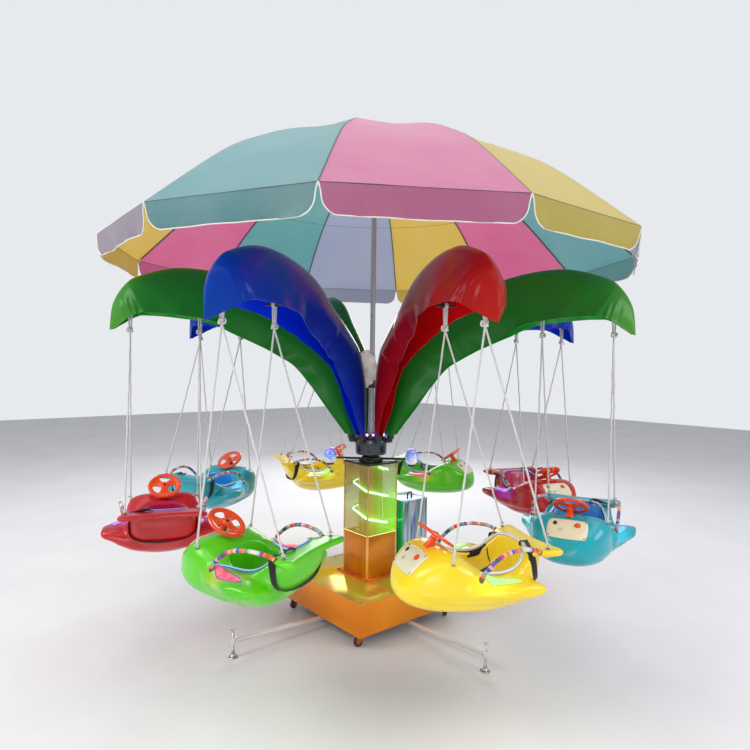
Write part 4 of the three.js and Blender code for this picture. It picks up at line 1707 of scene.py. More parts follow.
@dataclass
class Rotor:
    """Turning head: windowed drum, clamps, and the steel arms inside the leaves."""

    drum: float = 0.098
    bottom: float = 0.9556
    arm_radius: float = 0.014
    pin_radius: float = 0.007
    path: Outline = ((0.128, 1.04), (0.146, 1.33), (0.216, 1.47), (0.48, 1.632), (0.7, 1.745),
                     (0.9, 1.8), (1.1, 1.815), (1.355, 1.802))

    def build_drum(self) -> None:
        """Drum with a wider head, eight windows, ribs and screws."""
        b, t, r = self.bottom, DRUM_TOP, self.drum
        drum = turned("drum", [(0.052, b), (r - 0.014, b), (r - 0.006, b + 0.006), (r - 0.004, b + 0.06),
                               (r - 0.003, b + 0.064), (r, b + 0.067), (r, t - 0.003), (r - 0.003, t),
                               (0.06, t + 0.001), (0.058, t + 0.02), (0.03, t + 0.021)], 64)
        for k in range(ARM_COUNT):
            turn = ARM_PHASE + (k + 0.5) * ARM_STEP
            combine(drum, block("window", (0.04, 0.028, 0.04), polar(r, turn, b + 0.037), 0.003, turn))
        smooth(soften(drum, 0.0009, 2, 45), 30)
        grey = Metal("drum_grey", "4d5157", 0.36, 0.65, (0.12, 0.11, 0.1), 0.3)
        fit(drum, grey, "rotor", Slot.SPIDER, "rotor_spider")
        turns = [ARM_PHASE + k * ARM_STEP / 2 for k in range(2 * ARM_COUNT)]
        spots = [aim(polar(r - 0.0002, turn, t - 0.014), polar(1, turn)) for turn in turns]
        screws = spread("drum_screws", button_screw(0.0042), spots)
        fit(screws, Metal("bright_screw", "c9ccd0", 0.2), "rotor", Slot.SPIDER)

    def build_arm(self) -> Piece:
        """One arm in the plane y = 0: clamp, bent tube, lugs and hanger pins.

        Returns:
            The arm.
        """
        top = DRUM_TOP
        parts = [block("clamp", (0.062, 0.03, 0.026), (0.102, 0, top - 0.0048), 0.003),
                 block("riser", (0.03, 0.036, 0.04), (0.128, 0, top + 0.022), 0.003)]
        for z in (top + 0.012, top + 0.032):
            parts.append(rod("bolt", (0.128, -0.0225, z), (0.128, 0.0225, z), 0.0055, 6, soft=0.0006))
        points = [(x, 0.0, z) for x, z in self.path]
        parts.append(tube("bar", smooth_route(points, 60), self.arm_radius * 0.86, 16))
        for at in PIN_RADII:
            for y in (-0.0125, 0.0125):
                parts.append(block("cheek", (0.028, 0.005, 0.066), (at, y, PIN_Z + 0.024), 0.0015))
            parts.append(rod("pin", (at, -0.048, PIN_Z), (at, 0.048, PIN_Z), self.pin_radius - 0.0003, 20))
        return join("arm", *parts)

    def build(self) -> None:
        """Model and dress the head and its eight arms."""
        self.build_drum()
        arms = spread("steel_arms", self.build_arm(), ARM_TURNS)
        fit(arms, Metal("arm_paint", "34363a", 0.45, 0.4, (0.1, 0.06, 0.04), 0.4), "rotor", Slot.SPIDER)


@dataclass
class Leaf:
    """Folded gelcoat leaf over an arm: rounded crown, two broad flaps, creases and a beak.

    A station holds the ridge's radius and height, the lower edge's radius and height, half the width at the
    lower edge and the bulge of the crown.
    """

    stations: Rows = (
        (0.086, 1.073, 0.16, 1.08, 0.017, 0.022), (0.096, 1.34, 0.348, 1.334, 0.025, 0.05),
        (0.165, 1.552, 0.468, 1.475, 0.028, 0.053), (0.299, 1.67, 0.554, 1.53, 0.032, 0.055),
        (0.473, 1.783, 0.65, 1.583, 0.04, 0.059), (0.668, 1.915, 0.8, 1.65, 0.062, 0.066),
        (0.894, 1.984, 0.935, 1.712, 0.104, 0.074), (1.11, 1.998, 1.112, 1.738, 0.122, 0.078),
        (1.296, 1.947, 1.272, 1.745, 0.112, 0.071), (1.373, 1.893, 1.33, 1.73, 0.092, 0.058),
        (1.43, 1.79, 1.38, 1.694, 0.05, 0.032), (1.445, 1.655, 1.428, 1.66, 0.008, 0.005))
    shoulder: float = 0.45
    sheet: float = 0.0035
    crown: float = 0.55
    columns: int = 112
    rows: int = 32
    folds: Outline = ((4.05, 0.009), (2.55, 0.008))
    creases: Rows = ((8.9, 8.0, 1.0), (9.05, 8.55, 0.7), (9.2, 9.15, 1.2), (8.2, 6.9, 0.45),
        (9.45, 9.9, 0.6))
    crease_depth: float = 0.0075
    crease_reach: float = 0.26
    colours: tuple[str, ...] = ("blue", "red", "green", "blue", "red", "green", "blue", "green")
    # Each row: key, colour, deep colour, colour at the beak, and the inside colour, made brighter as painted
    # light shining through.
    tones: tuple[tuple[str, ...], ...] = (
        ("blue", "0636a0", "0426a6", "0c429e", "0838e4"), ("red", "aa0f19", "900a11", "b82419", "cc1018"),
        ("green", "23702a", "1b7c26", "5a9a3c", "1f9a2c"))

    def swell(self, place: float, share: float) -> float:
        """Outward swell of the folds and creases, in metres.

        Args:
            place: position along the stations.
            share: 0 at the crown to 1 at the lower edge.

        Returns:
            The swell.
        """
        creases = folds = 0.0
        for at_top, at_foot, weight in self.creases:
            tent = max(0.0, 1.0 - abs(place - blend(at_top, at_foot, share)) / self.crease_reach)
            creases += weight * self.crease_depth * tent * ease(0.06, 0.4, share)
        for at, depth in self.folds:
            line = at - 0.55 * share
            folds += (depth * (1 - ease(line - 0.05, line + 0.05, place)) * ease(0.15, 0.6, share)
                      * ease(0.4, 1.6, place))
        return creases - folds

    def skin(self, u: float, v: float) -> Vector:
        """Point of the outer skin over the plane y = 0.

        Args:
            u: 0 at the root to 1 at the beak.
            v: 0 at one lower edge, 0.5 at the crown, 1 at the other edge.

        Returns:
            The point.
        """
        place = u * (len(self.stations) - 1)
        ridge_r, ridge_z, low_r, low_z, half, bulge = catmull(self.stations, place)
        side = 1.0 if v >= 0.5 else -1.0
        share = (abs(v - 0.5) * 2) ** 1.25
        width = 0.0
        if share:
            grown = bulge * (share / self.shoulder) ** self.crown
            closing = max(0.0, (share - self.shoulder) / (1 - self.shoulder)) ** 1.5
            bow = sin(pi * share) * 0.01 * ease(0.5, 2.5, place) * ease(11, 9, place)
            ripple = 0.0035 * sin(7.0 * place + 3.0 * side) * ease(0.55, 1.0, share) * ease(11, 8, place)
            wave = noise.noise(Vector((place * 0.9, share * 1.6 + 4 * side, 2.0))) * 0.006 * ease(0.1, 0.6,
                share)
            width = (grown + (half - bulge * self.shoulder ** -self.crown) * closing + bow
                     + self.swell(place, share) + ripple + wave * ease(11, 9, place))
            width = max(width, 0.012 * ease(0.0, 0.4, share) * ease(11, 10, place))
        curl = 0.0025 * max(0.0, share - 0.93) / 0.07
        return Vector((blend(ridge_r, low_r, share), side * (width + curl), blend(ridge_z, low_z, share)))

    def build(self) -> None:
        """Model one leaf, copy it eight times and dress each in its colour."""
        made = {}
        # Each inside copy takes a brighter colour and a faint glow: painted light that stands in for light
        # shining through the fibreglass.
        for key, colour, deep, tip, inside in self.tones:
            made[key] = (Gelcoat(f"gelcoat_{key}", colour, deep, tip).build(),
                         Gelcoat(f"gelcoat_{key}_inside", inside, inside, colour, 0.06).build())
        leaf = two_faced(weld(sheet("leaf", self.columns, self.rows, self.skin, angle=24.0)), self.sheet,
            32)
        for k, colour in enumerate(self.colours):
            piece = copy(leaf, f"leaf_{k + 1}", ARM_TURNS[k])
            fit(piece, made[colour], "rotor", Slot[f"LEAF_{colour.upper()}"], f"leaf_arm_{k + 1}")
        discard(leaf)


@dataclass
class RootLights:
    """Small coloured lamps tucked round the roots of the leaves."""

    radius: float = 0.088
    height: float = 1.079
    tones: tuple[str, ...] = ("ff3fb4", "3f5bff", "9a5bff", "3f8fff")

    def build(self) -> None:
        """Model and dress the lamps on a dark ring."""
        band = ring("root_light_ring", self.radius - 0.004, 0.0048, (0, 0, self.height - 0.004), 72, 10)
        fit(band, Plain("root_ring_black", "1c1d22", 0.4), "rotor", Slot.SPIDER)
        for i, tone in enumerate(self.tones):
            spots = [polar(self.radius + 0.004, ARM_PHASE + (4 * k + i + 0.5) * tau / 16, self.height)
                     for k in range(4)]
            lamps = join(f"root_lamps_{i + 1}", *[ball("lamp", (0.007, 0.007, 0.008), at, 16, 10)
                for at in spots])
            fit(lamps, Glow(f"root_glow_{i + 1}", tone, 3.2, (0.7, 0.7, 0.8)), "rotor", Slot.SPIDER)


@dataclass
class Umbrella:
    """Gored umbrella: pole, ribs with tips, one sewn cloth with its valances and their piping."""

    profile: Outline = ((0.024, 2.85), (0.33, 2.797), (0.654, 2.692), (0.9, 2.575), (1.12, 2.44),
                        (1.5, 2.125))
    pole: float = 0.015
    drop: float = 0.112
    rib: float = 0.0042
    sag: float = 0.012
    sheet: float = 0.0016
    gore_columns: int = 14
    gore_rows: int = 56
    flap_columns: int = 26
    flap_rows: int = 12
    corner: float = 0.07
    gap: float = 0.01
    wrap_centre: Point = (-0.021, -0.026, 1.466)

    def curve(self, share: float) -> list[float]:
        """Radius and height of the roof at a share of its slope."""
        return catmull(self.profile, share * (len(self.profile) - 1))

    def slope_length(self) -> float:
        """Length of the cloth from its top to its rim."""
        steps = 20
        fine = [catmull(self.profile, i / steps) for i in range(steps * (len(self.profile) - 1) + 1)]
        return sum(dist(a, b) for a, b in zip(fine, fine[1:]))

    def roof_point(self, u: float, v: float) -> Vector:
        """Point of the roof.

        Args:
            u: share of the way round.
            v: share of the way down.

        Returns:
            The point.
        """
        r, z = self.curve(v)
        gore = u * RIB_COUNT
        number = min(floor(gore), RIB_COUNT - 1)
        share = gore - number
        first = RIB_PHASE + number * RIB_STEP
        point = polar(r, first, z).lerp(polar(r, first + RIB_STEP, z), share)
        belly = sin(pi * share)
        inward = -Vector((point.x, point.y, 0)).normalized()
        dip = self.sag * belly * sin(pi * min(1.0, v * 1.02)) ** 0.7 if v < 0.98 else 0.0
        dip += noise.noise(Vector((gore * 2.6, v * 9.0, 1.0))) * 0.0035 * belly
        dip += sin(gore * 80.0) * 0.0008 * ease(0.16, 0.02, min(share, 1 - share)) * ease(0.2, 0.6, v)
        return point + inward * dip * 0.7 - Vector((0, 0, dip * 0.8))

    def half_width(self, v: float) -> float:
        """Half the width of a valance at a height.

        Args:
            v: share of the way down it.

        Returns:
            Half its width.
        """
        rounding = max(0.0, v * self.drop - (self.drop - self.corner))
        inset = self.gap * ease(0.0, 0.35, v) + 0.001
        inset += self.corner - sqrt(max(0.0, self.corner ** 2 - rounding ** 2))
        return self.profile[-1][0] * sin(RIB_STEP / 2) - inset

    def valance_point(self, i: int, x: float, share: float, v: float) -> Vector:
        """Point of a valance.

        Args:
            i: which valance.
            x: distance along it from its middle.
            share: the same as a share of its width, for its waves.
            v: share of the way down.

        Returns:
            The point.
        """
        rim_r, rim_z = self.profile[-1]
        middle = RIB_PHASE + (i + 0.5) * RIB_STEP
        wave = (0.006 * sin(share * 9.0 + i * 2.1) + 0.003 * sin(share * 23.0 + i)) * v
        reach = rim_r * cos(RIB_STEP / 2) - 0.012 * v * v + wave
        return polar(reach, middle, rim_z - v * self.drop) + polar(x, middle + pi / 2)

    def build_cloth(self) -> None:
        """One continuous sheet: twelve gores that sag between the ribs, then twelve valances."""
        length = self.slope_length()
        parts = [sheet("roof", RIB_COUNT * self.gore_columns, self.gore_rows, self.roof_point, False,
                       (RIB_COUNT, length), 30.0)]
        for i in range(RIB_COUNT):
            def hang(u: float, v: float, i: int = i) -> Vector:
                """Point of one valance."""
                half = self.half_width(v)
                return self.valance_point(i, blend(-half, half, u), u, v)

            flap = sheet("flap", self.flap_columns, self.flap_rows, hang, angle=40.0)
            for corner in flap.data.uv_layers[0].data:
                corner.uv = (i + 0.02 + 0.96 * corner.uv[0], length + self.drop * corner.uv[1])
            parts.append(flap)
        cloth = weld(join("umbrella_cloth", *parts), 0.0004)
        two_faced(cloth, self.sheet, 40)
        # The inside gores are paler, the lavender bluer, and they glow: painted light that stands in for
        # light shining through the cloth.
        outside, inside = ("d98ab2", "d8cc5e", "b7abb9", "7cb2b6"), ("ea84b2", "ecd070", "b9c6de", "80c2c4")
        looks = (Cloth("umbrella_gores", outside, length), Cloth("umbrella_gores_inside", inside, length,
            0.2, 0.4))
        fit(cloth, looks, "rotor", Slot.CANOPY, "umbrella_canopy")

    def build_piping(self) -> None:
        """White binding round the sides and lower edge of each valance."""
        levels = (0.0, 0.2, 0.36, 0.5, 0.62, 0.72, 0.81, 0.88, 0.94, 0.98, 1.0)
        half, reach = self.half_width(0.35), self.half_width(1.0)
        edge = [(-self.half_width(v), 0.0, v) for v in levels]
        edge += [(blend(-reach, reach, j / 12), 0.0, 1.0) for j in range(1, 12)]
        edge += [(self.half_width(v), 1.0, v) for v in reversed(levels)]
        tubes = []
        for i in range(RIB_COUNT):
            points = [self.valance_point(i, x, (x / half + 1) / 2 if v == 1.0 else share, v) for x, share,
                v in edge]
            tubes.append(tube("binding", smooth_route(points, 84), 0.0026, 8))
        piping = join("valance_piping", *tubes)
        fit(piping, Plain("binding_white", "ece9e2", 0.6, 900.0, 0.0002), "rotor", Slot.CANOPY)

    def build_frame(self) -> None:
        """Pole with its collars, twelve ribs, their hub and their white tips."""
        foot = [(0.03, 0.0223), (0.03, 0.03), (0.019, 0.034), (0.019, 0.11), (0.0178, 0.113),
            (self.pole, 0.114)]
        rest = [(self.pole, 1.98), (0.0162, 1.981), (0.0162, 2.03), (self.pole, 2.031), (self.pole, 2.6),
                (0.022, 2.602), (0.022, 2.64), (self.pole, 2.642), (self.pole, 2.78)]
        pole = turned("pole", [*[(r, DRUM_TOP + z) for r, z in foot], *rest], 36)
        paint = Metal("pole_paint", "a9abb4", 0.32, 0.5, (0.3, 0.29, 0.28), 0.3, (1, 1, 0.05))
        fit(pole, paint, "rotor", Slot.POLE, "umbrella_frame")
        hub = turned("umbrella_hub", [(0.02, 2.77), (0.034, 2.772), (0.036, 2.78), (0.036, 2.792),
                                      (0.03, 2.796), (0.03, 2.806), (0.036, 2.81), (0.036, 2.822),
                                      (0.028, 2.83), (0.0, 2.832)], 36)
        fit(hub, Plain("hub_white", "d9d8d4", 0.4), "rotor", Slot.POLE)
        path = []
        for i in range(61):
            share = 0.02 + 0.975 * i / 60
            (r, z), (ra, za) = self.curve(share), self.curve(max(0.0, share - 0.01))
            normal = Vector((za - z, 0, r - ra)).normalized()
            path.append(Vector((r, 0, z)) - normal * copysign(self.rib + 0.0028, normal.z))
        turns = [spin(RIB_PHASE + k * RIB_STEP) for k in range(RIB_COUNT)]
        ribs = spread("umbrella_ribs", tube("rib", path, self.rib, 8), turns)
        fit(ribs, Metal("rib_steel", "74777e", 0.4, 0.6, (0.2, 0.18, 0.16), 0.3), "rotor", Slot.POLE)
        r, z = self.profile[-1]
        tip = rod("tip", (r - 0.024, 0, z + 0.0115), (r + 0.001, 0, z - 0.0095), 0.0058, 16, 0.0046, 0.0015)
        lug = block("lug", (0.012, 0.014, 0.016), (r - 0.013, 0, z - 0.004), 0.003)
        fit(spread("rib_tips", join("tip", tip, lug), turns), Plain("tip_white", "e3ded2", 0.45), "rotor",
            Slot.POLE)

    def build_wrap(self) -> None:
        """Crumpled white wrap taped to the pole, with its dark clamp below."""
        wrap = ball("pole_wrap", (0.064, 0.07, 0.114), self.wrap_centre, 72, 56)
        x, y, _ = self.wrap_centre
        for vert in wrap.data.vertices:
            p = vert.co
            swell = noise.noise(p * 26) * 0.016 + abs(noise.noise(p * 48)) * -0.014 + noise.noise(p
                * 110) * 0.003
            vert.co = p + Vector((p.x - x, p.y - y, 0)).normalized() * swell
        fit(smooth(wrap, 40), Plain("wrap_white", "f2efe8", 0.45, 240.0, 0.0006, 0.2), "rotor", Slot.CANOPY)
        clamp = turned("pole_clamp", [(0.0152, 1.352), (0.026, 1.354), (0.028, 1.36), (0.028, 1.392),
                                      (0.026, 1.398), (0.0152, 1.4)], 32)
        fit(clamp, Plain("clamp_dark", "26282b", 0.4), "rotor", Slot.POLE)

    def build(self) -> None:
        """Model and dress the umbrella, with a low cap sewn over its top."""
        self.build_frame()
        self.build_piping()
        self.build_cloth()
        self.build_wrap()
        cap = turned("umbrella_cap", [(0.052, 2.8475), (0.0526, 2.849), (0.034, 2.853), (0.014, 2.856),
                                      (0.012, 2.86), (0.006, 2.864), (0.0, 2.865)], 36, angle=60)
        fit(cap, Plain("cap_white", "dcd6d6", 0.6), "rotor", Slot.CANOPY)


@dataclass
class RopeSet:
    """Double-strand hanger over its pin, a bulky knot, and two legs with knotted ends."""

    radius: float = 0.0042
    pin: float = 0.0079
    legs: Outline = (HANG_FRONT, HANG_REAR)

    def knot(self, centre: Vector, size: float, cord: float, axis: Vector) -> Piece:
        """Overhand knot drawn tight.

        Args:
            centre: its middle.
            size: half its height.
            cord: radius of its cord.
            axis: direction of the rope through it.

        Returns:
            The knot.
        """
        turns = [tau * i / 48 for i in range(48)]
        points = [Vector(((sin(t) + 2 * sin(2 * t)) / 3, (cos(t) - 2 * cos(2 * t)) / 3,
                          -sin(3 * t) * 0.62)) * size for t in turns]
        return tube("knot", smooth_route([aim(centre, axis) @ p for p in points], 72, True), cord, 8, True)

    def build_pattern(self) -> Piece:
        """One rope set in the plane y = 0, hung at x = 0.

        Returns:
            The rope set.
        """
        reach = self.pin + self.radius
        up = Vector((0, 0, 1))
        parts = [self.knot(Vector((0, 0, KNOT_Z - 0.001)), 0.0145, self.radius * 1.12, up),
                 ball("core", (0.0088, 0.0088, 0.015), (0, 0, KNOT_Z - 0.002), 14, 8)]
        for x in (-0.0046, 0.0046):
            bow = [(x, reach * sin(a), PIN_Z + reach * cos(a)) for a in map(radians, range(-150, 151, 20))]
            points = [(x * 0.7, -0.0045, KNOT_Z + 0.006), (x, -0.0062, PIN_Z - 0.03), *bow,
                      (x, 0.0062, PIN_Z - 0.03), (x * 0.7, 0.0045, KNOT_Z + 0.006)]
            parts.append(tube("hanger", smooth_route(points, 52), self.radius * 0.95, 8))
        for x, z in self.legs:
            start, end = Vector((0, 0, KNOT_Z - 0.01)), Vector((x, 0, z))
            ahead = (end - start).normalized()
            route = [start.lerp(end, i / 30) + Vector((0, 0.0016 * sin(i * 1.7) * sin(pi * i / 30), 0))
                     for i in range(31)]
            tail = [end + Vector(step) for step in ((0, 0.004, 0.004), (0, 0.01, 0.0075),
                (0, 0.0135, 0.003))]
            parts += [tube("leg", route, self.radius, 8),
                      self.knot(end - ahead * 0.001, 0.0056, self.radius * 0.72, ahead),
                      tube("tail", smooth_route(tail, 8), self.radius * 0.7, 8)]
        return join("rope", *parts)

    def build(self) -> None:
        """Model one set, copy it to both pins of each arm and dress the copies."""
        braid = Braid("white_braid", "f2f2ee", "b0afaa").build()
        pattern = self.build_pattern()
        for k in range(ARM_COUNT):
            for name, y in (("inner", -HANG_HALF), ("outer", HANG_HALF)):
                piece = copy(pattern, f"braid_{name}_{k + 1}", seat_place(k) @ shift((0, y, 0)))
                fit(piece, braid, f"rope_{name}_{k + 1}", Slot.ROPE, f"rope_{name}_{k + 1}")
        discard(pattern)


@dataclass
class ChairShell:
    """Blow-moulded seat in its own frame: x ahead, y away from the turning axis, z as in the ride.

    A row of the hull holds x, half width, low and high. One of the wing holds y, two x and two z. One of the
    pit holds the height, its rear and front edge and its half width.
    """

    hull: Rows = (
        (0.292, 0.012, 0.597, 0.611), (0.29, 0.03, 0.59, 0.618), (0.28, 0.072, 0.57, 0.65),
        (0.256, 0.116, 0.552, 0.688), (0.226, 0.146, 0.539, 0.718), (0.184, 0.172, 0.527, 0.746),
        (0.14, 0.188, 0.519, 0.76), (0.1, 0.194, 0.514, 0.76), (0.05, 0.196, 0.51, 0.738),
        (0.0, 0.198, 0.508, 0.712), (-0.1, 0.194, 0.506, 0.716), (-0.19, 0.18, 0.528, 0.742),
        (-0.25, 0.16, 0.576, 0.754), (-0.296, 0.13, 0.64, 0.75), (-0.312, 0.104, 0.684, 0.742))
    wing: Rows = (
        (0.04, -0.24, 0.075, 0.52, 0.664), (0.1, -0.246, 0.07, 0.524, 0.668),
        (0.15, -0.248, 0.058, 0.538, 0.67), (0.185, -0.247, 0.04, 0.557, 0.671),
        (0.215, -0.244, 0.014, 0.576, 0.67), (0.24, -0.241, -0.026, 0.595, 0.669),
        (0.262, -0.237, -0.064, 0.608, 0.667), (0.28, -0.229, -0.092, 0.618, 0.665),
        (0.2915, -0.213, -0.118, 0.628, 0.661))
    tail: Outline = ((-0.205, 0.112), (-0.246, 0.158), (-0.288, 0.194), (-0.328, 0.208), (-0.36, 0.203),
                     (-0.369, 0.18), (-0.36, 0.11), (-0.352, 0.0))
    pit: Rows = ((0.556, -0.176, 0.012, 0.088), (0.58, -0.196, 0.018, 0.104), (0.64, -0.232, 0.028, 0.134),
                 (0.72, -0.252, 0.034, 0.142), (0.9, -0.286, 0.044, 0.152))
    dip: tuple[float, float, float, float] = (-0.098, 0.8, 0.15, 0.132)
    tail_tilt: float = radians(4.0)
    tail_base: float = 0.709
    tail_thick: float = 0.027
    pit_power: float = 0.7
    voxel: float = 0.0082
    settle: int = 4

    def hull_point(self, u: float, v: float) -> Vector:
        """Point of the hull.

        Args:
            u: 0 at the nose to 1 at the tail.
            v: share of the way round.

        Returns:
            The point.
        """
        x, half, low, high = catmull(self.hull, u * (len(self.hull) - 1))
        c, s = bulged(tau * v, *((0.46, 0.46) if sin(tau * v) > 0 else (0.86, 0.8)))
        return Vector((x, half * c, (low + high) / 2 + (high - low) / 2 * s))

    def wing_point(self, side: int, u: float, v: float) -> Vector:
        """Point of a wing.

        Args:
            side: 1 or -1.
            u: 0 at the root to 1 at the tip.
            v: share of the way round.

        Returns:
            The point.
        """
        y, x0, x1, z0, z1 = catmull(self.wing, u * (len(self.wing) - 1))
        c, s = bulged(tau * v, 0.9, 0.8)
        return Vector(((x0 + x1) / 2 + (x1 - x0) / 2 * c, side * y, (z0 + z1) / 2 + (z1 - z0) / 2 * s))

    def pit_point(self, u: float, v: float) -> Vector:
        """Point of the cockpit's wall.

        Args:
            u: 0 at its floor to 1 at the top.
            v: share of the way round.

        Returns:
            The point.
        """
        level, x0, x1, half = catmull(self.pit, u * (len(self.pit) - 1))
        c, s = bulged(tau * v, self.pit_power, self.pit_power)
        return Vector(((x0 + x1) / 2 + (x1 - x0) / 2 * c, half * s, level))

    def pit_ring(self, level: float) -> tuple[float, float, float]:
        """Section of the cockpit at a height.

        Args:
            level: the height.

        Returns:
            Its rear edge, front edge and half width.
        """
        for low, high in zip(self.pit, self.pit[1:]):
            if level <= high[0] or high is self.pit[-1]:
                share = (level - low[0]) / (high[0] - low[0])
                return tuple(blend(a, b, share) for a, b in zip(low[1:], high[1:]))
        return self.pit[0][1:]

    def build_hull(self) -> Piece:
        """Hull, wings, tail plate and rope bosses in one skin before it is hollowed.

        Returns:
            The hull.
        """
        body = sheet("hull", 72, 60, self.hull_point, True, angle=60.0)
        for side in SIDES:
            fin = sheet("fin", 28, 36, lambda u, v, side=side: self.wing_point(side, u, v), True,
                angle=60.0)
            combine(body, fin, "UNION")
        outline = [*self.tail, *[(x, -y) for x, y in reversed(self.tail[:-1])]]
        plate = prism("tail", smooth_route([(x, y, 0) for x, y in outline], 72), 0.0, self.tail_thick)
        soften(plate, 0.013, 4, 50)
        combine(body, move(plate, shift((0, 0, self.tail_base)) @ spin(self.tail_tilt, "Y")), "UNION")
        for x, z in (HANG_FRONT, HANG_REAR):
            for side in SIDES:
                boss = ball("boss", (0.016, 0.014, 0.02), (x, side * (HANG_HALF - 0.003), z - 0.033), 20,
                    12)
                combine(body, boss, "UNION")
        for side in SIDES:
            combine(body, ball("shoulder", (0.08, 0.044, 0.06), (0.004, side * 0.178, 0.636), 28, 16),
                "UNION")
        return body

    def build(self) -> Piece:
        """Hollow the hull, then melt its joints into one moulding with a parting line.

        Returns:
            The shell.
        """
        body = self.build_hull()
        x, z, across, tall = self.dip
        squash = shift((x, 0, z)) @ Matrix.Diagonal((across, 1, tall, 1)) @ shift((-x, 0, -z))
        combine(body, move(rod("dip", (x, -0.3, z), (x, 0.3, z), 1.0, 64), squash))
        combine(body, sheet("pit", 24, 56, self.pit_point, True, angle=60.0))
        modify(body, "REMESH", mode="VOXEL", voxel_size=self.voxel, adaptivity=0.0, use_smooth_shade=True)
        modify(body, "SMOOTH", factor=0.5, iterations=self.settle)
        self.press_details(body)
        for side in SIDES:
            combine(body, rod("drain", (-0.02, side * 0.1, 0.536), (-0.02, side * 0.22, 0.536), 0.0042,
                12))
        body.name = body.data.name = "shell"
        return smooth(body, 180)

    def press_details(self, body: Piece) -> None:
        """Press in the parting line, the side swage and the seat ribs, and mark inside and lit places.

        Args:
            body: the remeshed shell.
        """
        mesh = body.data
        inside = mesh.attributes.new("inside", "FLOAT", "POINT")
        lit = mesh.attributes.new("lit", "FLOAT", "POINT")
        normals = [vert.normal.copy() for vert in mesh.vertices]
        for vert, normal in zip(mesh.vertices, normals):
            x, y, z = vert.co
            seam = 0.6 + 0.02 * sin((x + 0.1) * 6.0)
            if (abs(y) > 0.1 or x > 0.18) and normal.z < 0.75:
                vert.co += normal * 0.0022 * ease(0.0048, 0.0008, abs(z - seam))
            swage = 0.566 + 0.6 * (x + 0.02) ** 2 - 0.03 * x
            if abs(y) > 0.09 and normal.z < 0.5:
                vert.co -= normal * 0.006 * ease(0.02, 0.0, abs(z - swage)) * ease(0.26, 0.16,
                    abs(x - 0.02))
            if 0.53 < z < 0.9:
                x0, x1, half = self.pit_ring(z)
                power = 2 / self.pit_power
                reach = abs((x - (x0 + x1) / 2) / ((x1 - x0) / 2)) ** power + abs(y / half) ** power
                value = ease(1.09, 1.01, reach ** (1 / power))
                inside.data[vert.index].value = value
                if value > 0.5 and normal.z < 0.5 and x < -0.12:
                    height = ease(0.6, 0.66, z) * ease(0.74, 0.7, z)
                    vert.co += normal * 0.003 * max(0.0, sin(y * 95.0)) * height
            glow = exp(-((x + 0.06) / 0.075) ** 2 - ((abs(y) - 0.215) / 0.035) ** 2) if z > 0.62 else 0.0
            lit.data[vert.index].value = glow
        mesh.update()


